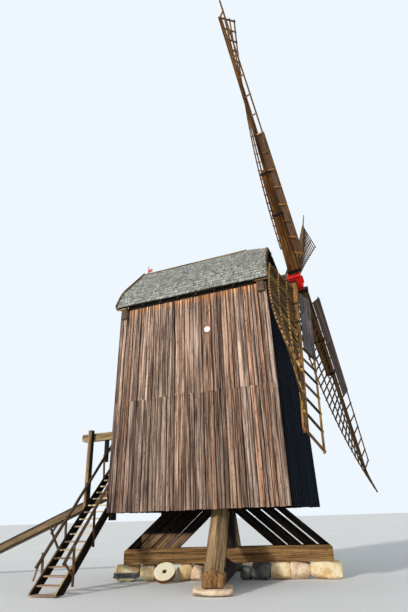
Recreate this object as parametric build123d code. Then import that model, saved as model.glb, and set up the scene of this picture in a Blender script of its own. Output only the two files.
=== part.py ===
from build123d import *
import math
import os

# Wooden post mill in millimetres. The post's axis is Z, the sails face +X,
# the ground is Z = 0, and the side of the body at -Y is called near.

# Body
body_length = 6000
body_width = 4160
body_bottom = 2020
wall_top = 9050
wall_lean = 130
wall_thickness = 60
breast_from_post = 2770
floor_top = 3520
floor_thickness = 60
floor_hole_gap = 60

# Doorway and door in the tail wall
door_width = 900
door_height = 1780
door_centre_y = 900
door_thickness = 40

# Roof
plate_height = 150
plate_width = 150
eave_overhang = 120
shoulder_y = 1530
shoulder_height = 915
eave_curve = 38
ridge_height = 2490
roof_thickness = 110
tail_overhang = 200
breast_overhang = 112
nose_length = 1250
nose_drop = 400
verge_rake = 8.4

# Trestle
tree_angle = 14
tree_length = 6660
upper_tree_width = 470
tree_end_slope = 60
upper_tree_bottom = 480
upper_tree_top = 930
lower_tree_bottom = 200
lower_tree_top = 650
lower_tree_ridge = 180
lower_tree_width = 550
post_side = 660
post_square_top = 3445
post_head_radius = 330
post_head_sides = 8
post_chamfer = 75
post_top = 4900
pintle_radius = 90
pintle_height = 150
bar_depth = 270
bar_width = 300
outer_bar_depth = 200
bar_gap = 60
bar_clear_radius = 2000
turning_gap = 8
foot_inset = 60
edge_bar_side = 370
inner_edge_bar_side = 290
edge_bar_inset = 20
edge_bar_top_radius = 1580
edge_bar_gap = 100

# Crown tree and roof beams
crown_width = 560
crown_depth = 600
beam_depth = 350
beam_proud = 150
weather_beam_width = 250
tail_beam_width = 240

# Windshaft and poll end
poll_x = 3156
poll_z = 9829
shaft_tilt = 4.84
shaft_radius = 250
neck_radius = 200
neck_length = 330
gudgeon_radius = 70
gudgeon_clear = 40
tail_shaft_radius = 200
neck_bearing_width = 760
tail_bearing_width = 380
neck_bearing_length = 130
tail_bearing_length = 200
bearing_gap = 0.3
beam_inset = 10
shaft_clearance = 30
shaft_sides = 8
poll_side = 620
poll_length = 760
poll_chamfer = 75
flange_side = 440
flange_thickness = 45
nose_radius = 150
nose_proud = 70
stock_root_width = 300
stock_root_depth = 280

# Sails
sail_radius = 9229
sail_angle = 45.8
whip_root = 380
whip_root_width = 210
whip_root_depth = 200
whip_tip_width = 110
whip_tip_depth = 110
stock_reach = 4250
stock_end_width = 220
stock_end_depth = 170
tip_forward = 470
bar_pitch = 622
last_bar_inset = 30
leading_bar_count = 14
leading_width = 600
leading_twist_root = 34
leading_twist_tip = 20
trailing_width = 1350
trailing_twist_root = 23
trailing_twist_tip = -13
twist_power = 2.2
trailing_lath_count = 3
lath_width = 45
lath_depth = 40
sail_bar_width = 40
sail_bar_depth = 50
bar_stub = 70
long_lath_stub = 310
bars_per_length = 6
board_thickness = 22
board_bays = 7
board_gap = 40
board_seat = 0.6

# Ladder and landing
ladder_width = 925
ladder_gap = 20
landing_start = -530
tread_count = 17
first_tread = 54
ladder_run = 207
tread_depth = 200
tread_thickness = 40
string_thickness = 60
string_depth = 260
foot_clearance = 30
string_margin = 40
landing_length = 2000
landing_thickness = 60
joist_depth = 130
joist_width = 110
middle_joist_y = 405
rail_height = 380
rail_rise = 330
rail_depth = 80
rail_width = 60
rail_post = 80
rail_post_pitch = 870
rail_post_start = 550
rail_post_count = 4
outer_post_count = 2

# Tail pole and its hanger
pole_width = 240
pole_depth = 320
pole_drop = 19.6
pole_entry_z = 3330
pole_reach = 11200
pole_inside = 150
pole_end_cut = 100
hanger_x = -5390
hanger_width = 156
hanger_thickness = 200
hanger_top = 5060
hanger_bottom = 2060
hanger_beam_top = 4953
hanger_beam_depth = 285
hanger_beam_reach = 5895
hanger_beam_round = 80
short_hanger_x = -4785
short_hanger_width = 130
short_hanger_bottom = 3850
corner_block_height = 215
corner_block_width = 340
corner_block_thickness = 80
corner_block_y = 1960

# Small things
disc_x = 423
disc_z = 7680
disc_radius = 150
disc_sides = 24
disc_thickness = 30
vane_from_tail = 200
spindle_radius = 12
spindle_height = 420
vane_length = 190
vane_height = 150
vane_plate = 8
vane_tube = 22
vane_tube_height = 210
vane_collar = 60
pin_gap = 0.3
millstone_radius = 340
millstone_sides = 24
millstone_thickness = 130
millstone_eye = 60
millstone_lean = 38
millstone_along = -1890
slab_length = 900
slab_width = 1200
slab_proud = 150
slab_chamfer = 35
tail_stones = ((-3275, 850), (-2475, 550), (-1350, 500), (-925, 300))
breast_stones = ((1100, 560), (1675, 520), (2300, 570), (3090, 880))
stone_proud = 60
stone_chamfer = 75

# Worked out from the sizes above
breast_x = breast_from_post
tail_x = breast_from_post - body_length
half_width = body_width / 2
lean = wall_lean / (wall_top - body_bottom)
rake = math.radians(verge_rake)
tilt = math.radians(shaft_tilt)
flat_limit = 1e-6


def save(shape, name):
    os.makedirs("parts", exist_ok=True)
    export_step(shape, f"parts/{name}.step")


def block(x0, x1, y0, y1, z0, z1):
    return Pos((x0 + x1) / 2, (y0 + y1) / 2, (z0 + z1) / 2) * Box(x1 - x0, y1 - y0, z1 - z0)


def prism(plane, points, low, high):
    solid = extrude(Polygon(*points, align=None), amount=(high - low) / 2, both=True)
    return plane * Pos(0, 0, (low + high) / 2) * solid


def flat_faces(corners):
    points = [Vector(*corner) for corner in corners]
    normal = (points[1] - points[0]).cross(points[2] - points[0])
    if len(points) == 4 and abs(normal.normalized().dot(points[3] - points[0])) > flat_limit:
        halves = (points[:3], [points[0], *points[2:]])
        return [Face(Wire.make_polygon(half)) for half in halves]
    return [Face(Wire.make_polygon(points))]


# A closed solid through rings of corners. A side that twists becomes two triangles.
def solid_through(*rings):
    faces = flat_faces(rings[0]) + flat_faces(rings[-1])
    for low, high in zip(rings, rings[1:]):
        for place in range(len(low)):
            after = (place + 1) % len(low)
            faces += flat_faces((low[place], low[after], high[after], high[place]))
    return Solid(Shell(faces))


def leaning_slab(z0, z1, x_range, y_range):
    rings = []
    for z in (z0, z1):
        (x0, x1), (y0, y1) = x_range(z), y_range(z)
        rings.append(((x0, y0, z), (x1, y0, z), (x1, y1, z), (x0, y1, z)))
    return solid_through(*rings)


# The walls lean in by the same slope on every side
def half_width_at(z):
    return half_width - lean * (z - body_bottom)


def inner_half_width(z):
    return half_width_at(z) - wall_thickness


def breast_at(z):
    return breast_x - lean * (z - body_bottom)


def tail_at(z):
    return tail_x + lean * (z - body_bottom)


def side_facing(x):
    return Plane(origin=(x, 0, 0), x_dir=(0, 1, 0), z_dir=(1, 0, 0))


# Trestle: X runs out along an arm, Y up, and Z to the arm's right seen from the post
def arm_plane(degrees):
    angle = math.radians(degrees)
    outward = (math.cos(angle), math.sin(angle), 0)
    sideways = (math.sin(angle), -math.cos(angle), 0)
    return Plane(origin=(0, 0, 0), x_dir=outward, z_dir=sideways)


breast_arm = arm_plane(tree_angle)
far_arm = arm_plane(tree_angle + 90)
tail_arm = arm_plane(tree_angle + 180)
near_arm = arm_plane(tree_angle + 270)
tree_reach = tree_length / 2
post_face = post_side / 2
bar_top = body_bottom - turning_gap


def make_lower_tree():
    half = lower_tree_width / 2
    shoulder = lower_tree_top - lower_tree_ridge
    section = (
        (-half, lower_tree_bottom),
        (half, lower_tree_bottom),
        (half, shoulder),
        (0, lower_tree_top),
        (-half, shoulder),
    )
    return prism(breast_arm, section, -tree_reach, tree_reach)


def make_upper_tree():
    outline = (
        (-tree_reach, upper_tree_bottom),
        (tree_reach, upper_tree_bottom),
        (tree_reach, upper_tree_top - tree_end_slope),
        (tree_reach - tree_end_slope, upper_tree_top),
        (tree_end_slope - tree_reach, upper_tree_top),
        (-tree_reach, upper_tree_top - tree_end_slope),
    )
    tree = prism(breast_arm, outline, -upper_tree_width / 2, upper_tree_width / 2)
    return tree - make_lower_tree()


def make_post():
    square = Box(post_side, post_side, post_square_top - upper_tree_top)
    square = chamfer(square.edges().filter_by(Axis.Z), post_chamfer)
    square = Rot(0, 0, tree_angle) * Pos(0, 0, (upper_tree_top + post_square_top) / 2) * square
    head = extrude(RegularPolygon(post_head_radius, post_head_sides), post_top - post_square_top)
    head = Pos(0, 0, post_square_top) * Rot(0, 0, tree_angle + 180 / post_head_sides) * head
    pintle = Pos(0, 0, post_top + pintle_height / 2) * Cylinder(pintle_radius, pintle_height)
    return square + head + pintle


# Quarterbars on the long arms lie flat side up, one above the other
def long_bar(foot, depth, slope):
    heel = foot - depth / math.sin(slope)
    return (
        (heel, upper_tree_top),
        (foot, upper_tree_top),
        (post_face, upper_tree_top + (foot - post_face) * math.tan(slope)),
        (post_face, upper_tree_top + (heel - post_face) * math.tan(slope)),
    )


def make_long_bars():
    foot = tree_reach - foot_inset
    slope = math.atan2(bar_top - upper_tree_top, foot - bar_clear_radius)
    bars = []
    for depth in (outer_bar_depth, bar_depth, bar_depth, bar_depth):
        outline = long_bar(foot, depth, slope)
        for arm in (breast_arm, tail_arm):
            bars.append(prism(arm, outline, -bar_width / 2, bar_width / 2))
        foot -= (depth + bar_gap * math.sin(slope)) / math.sin(slope)
    return Compound(children=bars)


# Quarterbars on the short arms stand on edge, each foot notched over the tree's ridge
def edge_bar(arm, side, foot, slope):
    half = side / math.sqrt(2)
    across = Plane(
        origin=(foot, lower_tree_top, 0),
        x_dir=(0, 0, 1),
        z_dir=(-math.cos(slope), math.sin(slope), 0),
    )
    section = ((0, 0), (half, -half), (0, -2 * half), (-half, -half))
    shoulder = lower_tree_top - lower_tree_ridge
    between = block(post_face, tree_reach, shoulder, post_top, -side, side)
    bar = prism(across, section, -tree_length, tree_length) & between
    return arm * bar - make_lower_tree()


def make_cross_bars():
    foot = tree_reach - edge_bar_inset
    slope = math.atan2(bar_top - lower_tree_top, foot - edge_bar_top_radius)
    inner_foot = foot - (edge_bar_side * math.sqrt(2) + edge_bar_gap) / math.sin(slope)
    bars = []
    for arm in (near_arm, far_arm):
        bars.append(edge_bar(arm, edge_bar_side, foot, slope))
        bars.append(edge_bar(arm, inner_edge_bar_side, inner_foot, slope))
    return Compound(children=bars)


def pier_stone(along, length):
    stone = Box(length, upper_tree_bottom, upper_tree_width + 2 * stone_proud)
    stone = chamfer(stone.edges(), stone_chamfer)
    return breast_arm * Pos(along, upper_tree_bottom / 2, 0) * stone


def make_pier_stones():
    return Compound(children=[pier_stone(*stone) for stone in tail_stones + breast_stones])


def make_slab_stones():
    slab = Box(slab_length, lower_tree_bottom, slab_width)
    slab = chamfer(slab.edges(), slab_chamfer)
    centre = tree_reach + slab_proud - slab_length / 2
    place = Pos(centre, lower_tree_bottom / 2, 0)
    return Compound(children=[arm * place * slab for arm in (near_arm, far_arm)])


def make_millstone():
    stone = extrude(RegularPolygon(millstone_radius, millstone_sides), millstone_thickness / 2, both=True)
    stone -= Cylinder(millstone_eye, millstone_thickness)
    angle = math.radians(millstone_lean)
    back = millstone_thickness / 2
    lift = millstone_radius * math.cos(angle) + back * math.sin(angle)
    reach = millstone_radius * math.sin(angle) + back * math.cos(angle) + pin_gap
    place = Pos(millstone_along, lift, upper_tree_width / 2 + reach)
    return breast_arm * place * Rot(-millstone_lean, 0, 0) * stone


# Frame of the body
crown_bottom = post_top + pin_gap
beam_bottom = wall_top - beam_depth
weather_beam_front = breast_at(wall_top) - wall_thickness - beam_inset
weather_beam_back = weather_beam_front - weather_beam_width
tail_beam_back = tail_at(wall_top) + wall_thickness + beam_inset
tail_beam_front = tail_beam_back + tail_beam_width
beam_reach = half_width_at(wall_top) + beam_proud


def make_crown_tree():
    half = crown_width / 2

    def x_range(z):
        return -half, half

    def y_range(z):
        reach = half_width_at(z) - wall_thickness / 2
        return -reach, reach

    tree = leaning_slab(crown_bottom, crown_bottom + crown_depth, x_range, y_range)
    socket = Cylinder(pintle_radius + pin_gap, 2 * (pintle_height + pin_gap))
    return tree - Pos(0, 0, crown_bottom) * socket


def make_weather_beam():
    return block(
        weather_beam_back, weather_beam_front, -beam_reach, beam_reach, beam_bottom, wall_top
    )


def make_tail_beam():
    return block(tail_beam_back, tail_beam_front, -beam_reach, beam_reach, beam_bottom, wall_top)


def make_wall_plates():
    plates = []
    for low, high in ((-plate_outer, -plate_inner), (plate_inner, plate_outer)):
        plates.append(block(tail_at(wall_top), breast_at(wall_top), low, high, wall_top, eave_z))
    return Compound(children=plates)


def make_corner_blocks():
    low = body_bottom - corner_block_height
    inner = corner_block_y - corner_block_width
    blocks = []
    for y0, y1 in ((-corner_block_y, -inner), (inner, corner_block_y)):
        blocks.append(block(tail_x, tail_x + corner_block_thickness, y0, y1, low, body_bottom))
    return Compound(children=blocks)


def make_floor():
    def x_range(z):
        return tail_at(z) + wall_thickness, breast_at(z) - wall_thickness

    def y_range(z):
        return -inner_half_width(z), inner_half_width(z)

    boards = leaning_slab(floor_top - floor_thickness, floor_top, x_range, y_range)
    hole = 2 * (post_head_radius + floor_hole_gap)
    return boards - Pos(0, 0, floor_top) * Box(hole, hole, floor_top)


# Roof: each slope is a curved eave below a straight stretch, and the ridge dips to the breast
eave_z = wall_top + plate_height
plate_outer = half_width_at(wall_top)
plate_inner = plate_outer - plate_width
eave_y = plate_outer + eave_overhang
ridge_z = eave_z + ridge_height
shoulder_z = eave_z + shoulder_height
roof_slope = math.atan2(ridge_z - shoulder_z, shoulder_y)
inner_ridge_z = ridge_z - roof_thickness / math.cos(roof_slope)
inner_shoulder_y = shoulder_y - roof_thickness * math.sin(roof_slope)
inner_shoulder_z = shoulder_z - roof_thickness * math.cos(roof_slope)
roof_back = tail_at(eave_z) - tail_overhang
roof_front = breast_at(eave_z) + breast_overhang
nose_start = roof_front - nose_length
hip_slope = math.atan2(nose_drop, nose_length)


def outer_section():
    eave = Vector(eave_y, eave_z)
    shoulder = Vector(shoulder_y, shoulder_z)
    chord = shoulder - eave
    bulge = (eave + shoulder) * 0.5 + Vector(chord.Y, -chord.X).normalized() * eave_curve
    curve = ThreePointArc(eave, bulge, shoulder)
    rest = Polyline(shoulder, (0, ridge_z), (0, eave_z), eave)
    return make_face([curve, rest])


def inner_section():
    outline = Polygon(
        (0, wall_top),
        (plate_inner, wall_top),
        (plate_inner, eave_z),
        (inner_shoulder_y, inner_shoulder_z),
        (0, inner_ridge_z),
        align=None,
    )
    return outline


# The far half of the space below a section, with the nose cut off along the half hip
def below_roof(section, depth):
    length = roof_front - roof_back
    solid = side_facing(roof_back) * extrude(section, length)
    hip = Plane(
        origin=(nose_start, 0, ridge_z - depth / math.cos(hip_slope)),
        z_dir=(math.sin(hip_slope), 0, math.cos(hip_slope)),
    )
    return split(solid, bisect_by=hip, keep=Keep.BOTTOM)


def make_roof_slope():
    verge = Plane(origin=(roof_front, 0, eave_z), z_dir=(math.cos(rake), 0, math.sin(rake)))
    slope = below_roof(outer_section(), 0) - below_roof(inner_section(), roof_thickness)
    return split(slope, bisect_by=verge, keep=Keep.BOTTOM)


def space_below_roof():
    half = below_roof(inner_section(), roof_thickness)
    return half + mirror(half, about=Plane.XZ)


# Walls
def make_side_wall():
    def x_range(z):
        return tail_at(z), breast_at(z)

    def y_range(z):
        return -half_width_at(z), -inner_half_width(z)

    wall = leaning_slab(body_bottom, wall_top, x_range, y_range)
    return wall - make_weather_beam() - make_tail_beam() - make_crown_tree()


def make_breast_wall():
    def x_range(z):
        return breast_at(z) - wall_thickness, breast_at(z)

    def y_range(z):
        return -inner_half_width(z), inner_half_width(z)

    wall = leaning_slab(body_bottom, wall_top, x_range, y_range)
    base = breast_at(wall_top)
    raked = Plane(
        origin=(base, 0, wall_top),
        x_dir=(0, 1, 0),
        z_dir=(math.cos(rake), 0, math.sin(rake)),
    )
    sheet = raked * Pos(0, 0, -wall_thickness / 2) * Box(body_width, body_width, wall_thickness)
    opening = shaft_frame * Cylinder(shaft_radius + shaft_clearance, body_width)
    return wall + (sheet & space_below_roof()) - opening


def tail_range(z):
    return tail_at(z), tail_at(z) + wall_thickness


def doorway(z):
    return door_centre_y - door_width / 2, door_centre_y + door_width / 2


def make_tail_wall_near():
    def y_range(z):
        return -inner_half_width(z), doorway(z)[0]

    wall = leaning_slab(body_bottom, wall_top, tail_range, y_range)
    return wall - make_tail_pole() - make_hanger_beam()


def make_tail_wall_far():
    def y_range(z):
        return doorway(z)[1], inner_half_width(z)

    return leaning_slab(body_bottom, wall_top, tail_range, y_range)


def make_tail_wall_under():
    return leaning_slab(body_bottom, floor_top, tail_range, doorway)


def make_tail_wall_over():
    wall = leaning_slab(floor_top + door_height, wall_top, tail_range, doorway)
    back, front = tail_range(wall_top)
    sheet = block(back, front, -half_width, half_width, wall_top, ridge_z)
    return wall + (sheet & space_below_roof())


def make_door():
    def x_range(z):
        inside = tail_range(z)[1]
        return inside - door_thickness, inside

    return leaning_slab(floor_top, floor_top + door_height, x_range, doorway)


def make_disc():
    plane = Plane(
        origin=(disc_x, -half_width_at(disc_z), disc_z), x_dir=(1, 0, 0), z_dir=(0, -1, lean)
    )
    return plane * extrude(RegularPolygon(disc_radius, disc_sides), disc_thickness)


# Windshaft: Z runs forward along it, Y up and X to the far side
shaft_frame = Plane(
    origin=(poll_x, 0, poll_z),
    x_dir=(0, 1, 0),
    z_dir=(math.cos(tilt), 0, math.sin(tilt)),
)
neck_x = weather_beam_back + neck_bearing_length / 2
tail_bearing_x = (tail_beam_back + tail_beam_front) / 2


def along_shaft(x):
    return (x - poll_x) / math.cos(tilt)


def shaft_height(x):
    return poll_z + (x - poll_x) * math.tan(tilt)


def bearing(x, length, width, radius):
    body = block(x - length / 2, x + length / 2, -width / 2, width / 2, wall_top, shaft_height(x))
    seat = Cylinder(radius + bearing_gap, 2 * length)
    return body - shaft_frame * Pos(0, 0, along_shaft(x)) * seat


def make_bearings():
    neck = bearing(neck_x, neck_bearing_length, neck_bearing_width, neck_radius)
    tail = bearing(tail_bearing_x, tail_bearing_length, tail_bearing_width, gudgeon_radius)
    return Compound(children=[neck, tail])


def shaft_ring(radius, place):
    turns = [2 * math.pi * (side + 0.5) / shaft_sides for side in range(shaft_sides)]
    return [(radius * math.cos(turn), radius * math.sin(turn), place) for turn in turns]


def round_length(radius, low, high):
    return Pos(0, 0, (low + high) / 2) * Cylinder(radius, high - low)


def make_windshaft():
    neck = along_shaft(neck_x)
    neck_start = neck - neck_length / 2
    neck_end = neck + neck_length / 2
    gudgeon_start = along_shaft(tail_beam_front) + gudgeon_clear
    body = solid_through(
        shaft_ring(tail_shaft_radius, gudgeon_start), shaft_ring(shaft_radius, neck_start)
    )
    head = solid_through(
        shaft_ring(shaft_radius, neck_end), shaft_ring(shaft_radius, -poll_length / 2)
    )
    round_parts = [
        round_length(neck_radius, neck_start, neck_end),
        round_length(gudgeon_radius, along_shaft(tail_beam_back), gudgeon_start),
    ]
    return shaft_frame * body.fuse(head, *round_parts)


# Sails: Y runs out along a whip, the leading side is towards -X and the wind side towards +Z.
# The first sail's leading lath sticks out beyond its last bar.
# Sails 0 and 2 share the front stock, and sails 1 and 3 the one behind it.
first_bar = sail_radius - last_bar_inset - bar_pitch * (leading_bar_count - 1)
last_bar = sail_radius - last_bar_inset
poll_face = poll_side / 2


def sail_turn(index):
    return Rot(0, 0, sail_angle + 90 * index)


def stock_middle(index):
    return stock_root_depth / 2 if index % 2 == 0 else -stock_root_depth / 2


def whip_rear(r, index):
    root = stock_middle(index) + stock_root_depth / 2
    tip = tip_forward - whip_tip_depth / 2
    return root + (tip - root) * (r - poll_face) / (sail_radius - poll_face)


def whip_middle(r, index):
    share = (r - whip_root) / (sail_radius - whip_root)
    depth = whip_root_depth + share * (whip_tip_depth - whip_root_depth)
    return whip_rear(r, index) + depth / 2


def ring_across(r, width, low, high):
    half = width / 2
    return ((-half, r, low), (half, r, low), (half, r, high), (-half, r, high))


def make_stock(index):
    middle = stock_middle(index)
    half = stock_root_depth / 2
    blank = Pos(0, 0, middle) * Box(stock_root_width, poll_side, stock_root_depth)
    root = ring_across(poll_face, stock_root_width, middle - half, middle + half)
    front = whip_rear(stock_reach, index)
    end = ring_across(stock_reach, stock_end_width, front - stock_end_depth, front)
    arm = solid_through(root, end)
    return shaft_frame * sail_turn(index) * (blank + arm + Rot(0, 0, 180) * arm)


def make_poll_end():
    poll = Box(poll_side, poll_side, poll_length)
    poll = chamfer(poll.edges().filter_by(Axis.Z), poll_chamfer)
    for index in range(4):
        flange = Box(flange_side, flange_thickness, flange_side)
        place = Pos(0, poll_face - flange_thickness / 2, stock_middle(index))
        poll += Rot(0, 0, 90 * index) * place * flange
    nose = extrude(RegularPolygon(nose_radius, shaft_sides), nose_proud)
    poll += Pos(0, 0, poll_length / 2) * nose
    for index in range(2):
        mortise = Box(stock_root_width, 2 * poll_side, stock_root_depth)
        poll -= Rot(0, 0, 90 * index) * Pos(0, 0, stock_middle(index)) * mortise
    return shaft_frame * sail_turn(0) * poll


def make_whip(index):
    root = whip_rear(whip_root, index)
    tip = whip_rear(sail_radius, index)
    return solid_through(
        ring_across(whip_root, whip_root_width, root, root + whip_root_depth),
        ring_across(sail_radius, whip_tip_width, tip, tip + whip_tip_depth),
    )


def leading_twist(r):
    share = (r - first_bar) / (last_bar - first_bar)
    return leading_twist_root + share * (leading_twist_tip - leading_twist_root)


def trailing_twist(r):
    share = max(0, (r - first_bar) / (last_bar - first_bar))
    return trailing_twist_root + share**twist_power * (trailing_twist_tip - trailing_twist_root)


def on_sail(r, index, twist):
    return Pos(0, r, whip_middle(r, index)) * Rot(0, twist(r), 0)


def sail_bar(r, index, twist, reach):
    bar = Box(abs(reach), sail_bar_width, sail_bar_depth)
    return on_sail(r, index, twist) * Pos(reach / 2, 0, 0) * bar


# A lath is a run of straight lengths that meet inside the bars
def sail_lath(index, twist, distance, stations):
    lengths = []
    for start, end in zip(stations, stations[1:]):
        low, high = [(on_sail(r, index, twist) * Pos(distance, 0, 0)).position for r in (start, end)]
        turn = math.radians(twist((start + end) / 2))
        frame = Plane(origin=low, x_dir=(math.cos(turn), 0, -math.sin(turn)), z_dir=high - low)
        length = (high - low).length
        lengths.append(frame * Pos(0, 0, length / 2) * Box(lath_depth, lath_width, length))
    return lengths


def make_trailing_side(index):
    step = bar_pitch / 2
    radii = [first_bar + step * place for place in range(2 * leading_bar_count - 1)]
    stations = [first_bar - bar_stub] + radii[bars_per_length - 1 :: bars_per_length] + [last_bar + bar_stub]
    pieces = [sail_bar(r, index, trailing_twist, trailing_width + bar_stub) for r in radii]
    for lath in range(1, trailing_lath_count + 1):
        distance = trailing_width * lath / trailing_lath_count
        pieces += sail_lath(index, trailing_twist, distance, stations)
    return pieces[0].fuse(*pieces[1:]) - make_whip(index)


def make_leading_side(index):
    radii = [first_bar + bar_pitch * place for place in range(leading_bar_count)]
    stub = long_lath_stub if index == 0 else bar_stub
    stations = [first_bar - bar_stub, radii[board_bays], last_bar + stub]
    pieces = [sail_bar(r, index, leading_twist, -leading_width - bar_stub / 2) for r in radii]
    pieces += sail_lath(index, leading_twist, -leading_width, stations)
    return pieces[0].fuse(*pieces[1:]) - make_whip(index)


def make_lattice(index):
    sides = [make_trailing_side(index), make_leading_side(index)]
    return shaft_frame * sail_turn(index) * Compound(children=sides)


def make_leading_board(index):
    inner = whip_root_width / 2 + board_gap
    outer = leading_width + lath_depth / 2
    low = sail_bar_depth / 2 + board_seat
    rings = []
    for bay in range(board_bays + 1):
        place = on_sail(first_bar + bar_pitch * bay, index, leading_twist)
        place *= Pos(-(inner + outer) / 2, 0, 0)
        ring = ring_across(0, outer - inner, low, low + board_thickness)
        rings.append([tuple((place * Pos(*corner)).position) for corner in ring])
    return shaft_frame * sail_turn(index) * solid_through(*rings)


# Ladder: its foot is towards -Y and it climbs to the landing
ladder_right = tail_x - ladder_gap
ladder_left = ladder_right - ladder_width
string_places = (
    (ladder_left, ladder_left + string_thickness),
    (ladder_right - string_thickness, ladder_right),
)
ladder_rise = (floor_top - first_tread) / tread_count
ladder_slope = ladder_rise / ladder_run
ladder_front = landing_start - ladder_run * tread_count - tread_depth / 2


def string_top(y):
    return first_tread + string_margin + (y - ladder_front) * ladder_slope


def string_top_at(z):
    return ladder_front + (z - first_tread - string_margin) / ladder_slope


def make_ladder_sides():
    drop = string_depth / math.cos(math.atan(ladder_slope))
    outline = (
        (ladder_front, foot_clearance),
        (ladder_front, string_top(ladder_front)),
        (string_top_at(floor_top), floor_top),
        (landing_start, floor_top),
        (landing_start, string_top(landing_start) - drop),
        (string_top_at(foot_clearance + drop), foot_clearance),
    )
    sides = [prism(side_facing(0), outline, *place) for place in string_places]
    return Compound(children=sides)


def make_treads():
    treads = []
    for index in range(tread_count):
        y = ladder_front + ladder_run * index
        z = first_tread + ladder_rise * index
        left = string_places[0][1]
        right = string_places[1][0]
        treads.append(block(left, right, y, y + tread_depth, z - tread_thickness, z))
    return Compound(children=treads)


def make_landing():
    end = landing_start + landing_length
    joist_top = floor_top - landing_thickness

    def x_range(z):
        return ladder_left, tail_at(z)

    def deck_range(z):
        return landing_start, end

    deck = leaning_slab(joist_top, floor_top, x_range, deck_range)
    for y in (landing_start, middle_joist_y, end - joist_width):

        def joist_range(z, y=y):
            return y, y + joist_width

        deck += leaning_slab(joist_top - joist_depth, joist_top, x_range, joist_range)
    return deck


rail_slope = ladder_slope + rail_rise / (landing_start - ladder_front)


def rail_low(y):
    return string_top(ladder_front) + rail_height + (y - ladder_front) * rail_slope


# The rails run above the strings, and their posts are nailed to the strings' outer faces,
# except where the body stands in the way
def make_handrails():
    outline = (
        (ladder_front, rail_low(ladder_front)),
        (ladder_front, rail_low(ladder_front) + rail_depth),
        (landing_start, rail_low(landing_start) + rail_depth),
        (landing_start, rail_low(landing_start)),
    )
    drop = string_depth / math.cos(math.atan(ladder_slope))
    rails = []
    for side, place in zip((-1, 1), string_places):
        rail = prism(side_facing(0), outline, *place)
        outer = place[0] if side < 0 else place[1]
        for index in range(rail_post_count):
            y = ladder_front + rail_post_start + rail_post_pitch * index
            beside = side < 0 or index < outer_post_count
            foot = -drop if beside else 0
            post = (
                (y, string_top(y) + foot),
                (y + rail_post, string_top(y + rail_post) + foot),
                (y + rail_post, rail_low(y + rail_post)),
                (y, rail_low(y)),
            )
            if beside:
                post = post[:2] + tuple((at, z + rail_depth) for at, z in post[2:])
                across = sorted((outer, outer + side * rail_width))
            else:
                across = place
            rail += prism(side_facing(0), post, *across)
        rails.append(rail)
    return Compound(children=rails)


# Tail pole, its hanger and the beam that carries the hanger
pole_slope = math.tan(math.radians(pole_drop))
along_body = Plane(origin=(0, 0, 0), x_dir=(1, 0, 0), z_dir=(0, -1, 0))


def pole_top(x):
    return pole_entry_z + (x - tail_at(pole_entry_z)) * pole_slope


def make_tail_pole():
    inner = tail_at(pole_entry_z) + wall_thickness + pole_inside
    deep = pole_depth / math.cos(math.radians(pole_drop))
    outline = (
        (inner, pole_top(inner)),
        (-pole_reach, pole_top(-pole_reach)),
        (pole_end_cut - pole_reach, pole_top(pole_end_cut - pole_reach) - deep),
        (inner, pole_top(inner) - deep),
    )
    return prism(along_body, outline, -pole_width / 2, pole_width / 2)


def make_hanger_beam():
    inner = tail_at(hanger_beam_top) + wall_thickness + pole_inside
    low = hanger_beam_top - hanger_beam_depth
    half = pole_width / 2
    beam = block(-hanger_beam_reach, inner, -half, half, low, hanger_beam_top)
    end_edges = beam.faces().sort_by(Axis.X)[0].edges().filter_by(Axis.Y)
    return fillet(end_edges, hanger_beam_round)


# The long hanger is fixed beside the pole and the beam, and the short one hangs below the beam
def make_hangers():
    face = -pole_width / 2
    half = hanger_width / 2
    x0, x1 = hanger_x - half, hanger_x + half
    long = block(x0, x1, face - hanger_thickness, face, hanger_bottom, hanger_top)
    half = short_hanger_width / 2
    x0, x1 = short_hanger_x - half, short_hanger_x + half
    beam_low = hanger_beam_top - hanger_beam_depth
    short = block(x0, x1, -half, half, short_hanger_bottom, beam_low)
    return Compound(children=[long, short])


# Vane on the ridge
vane_x = roof_back + vane_from_tail


def make_spindle():
    rod = Pos(vane_x, 0, ridge_z + spindle_height / 2) * Cylinder(spindle_radius, spindle_height)
    collar = Pos(vane_x, 0, ridge_z + vane_collar / 2) * Box(2 * vane_tube, 2 * vane_tube, vane_collar)
    return rod + collar


def make_vane():
    middle = ridge_z + vane_collar + pin_gap + vane_tube_height / 2
    tube = Box(2 * vane_tube, 2 * vane_tube, vane_tube_height)
    plate = Pos(vane_length / 2, 0, 0) * Box(vane_length, vane_plate, vane_height)
    bore = Cylinder(spindle_radius + pin_gap, vane_tube_height)
    return Pos(vane_x, 0, middle) * (tube + plate - bore)


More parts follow.
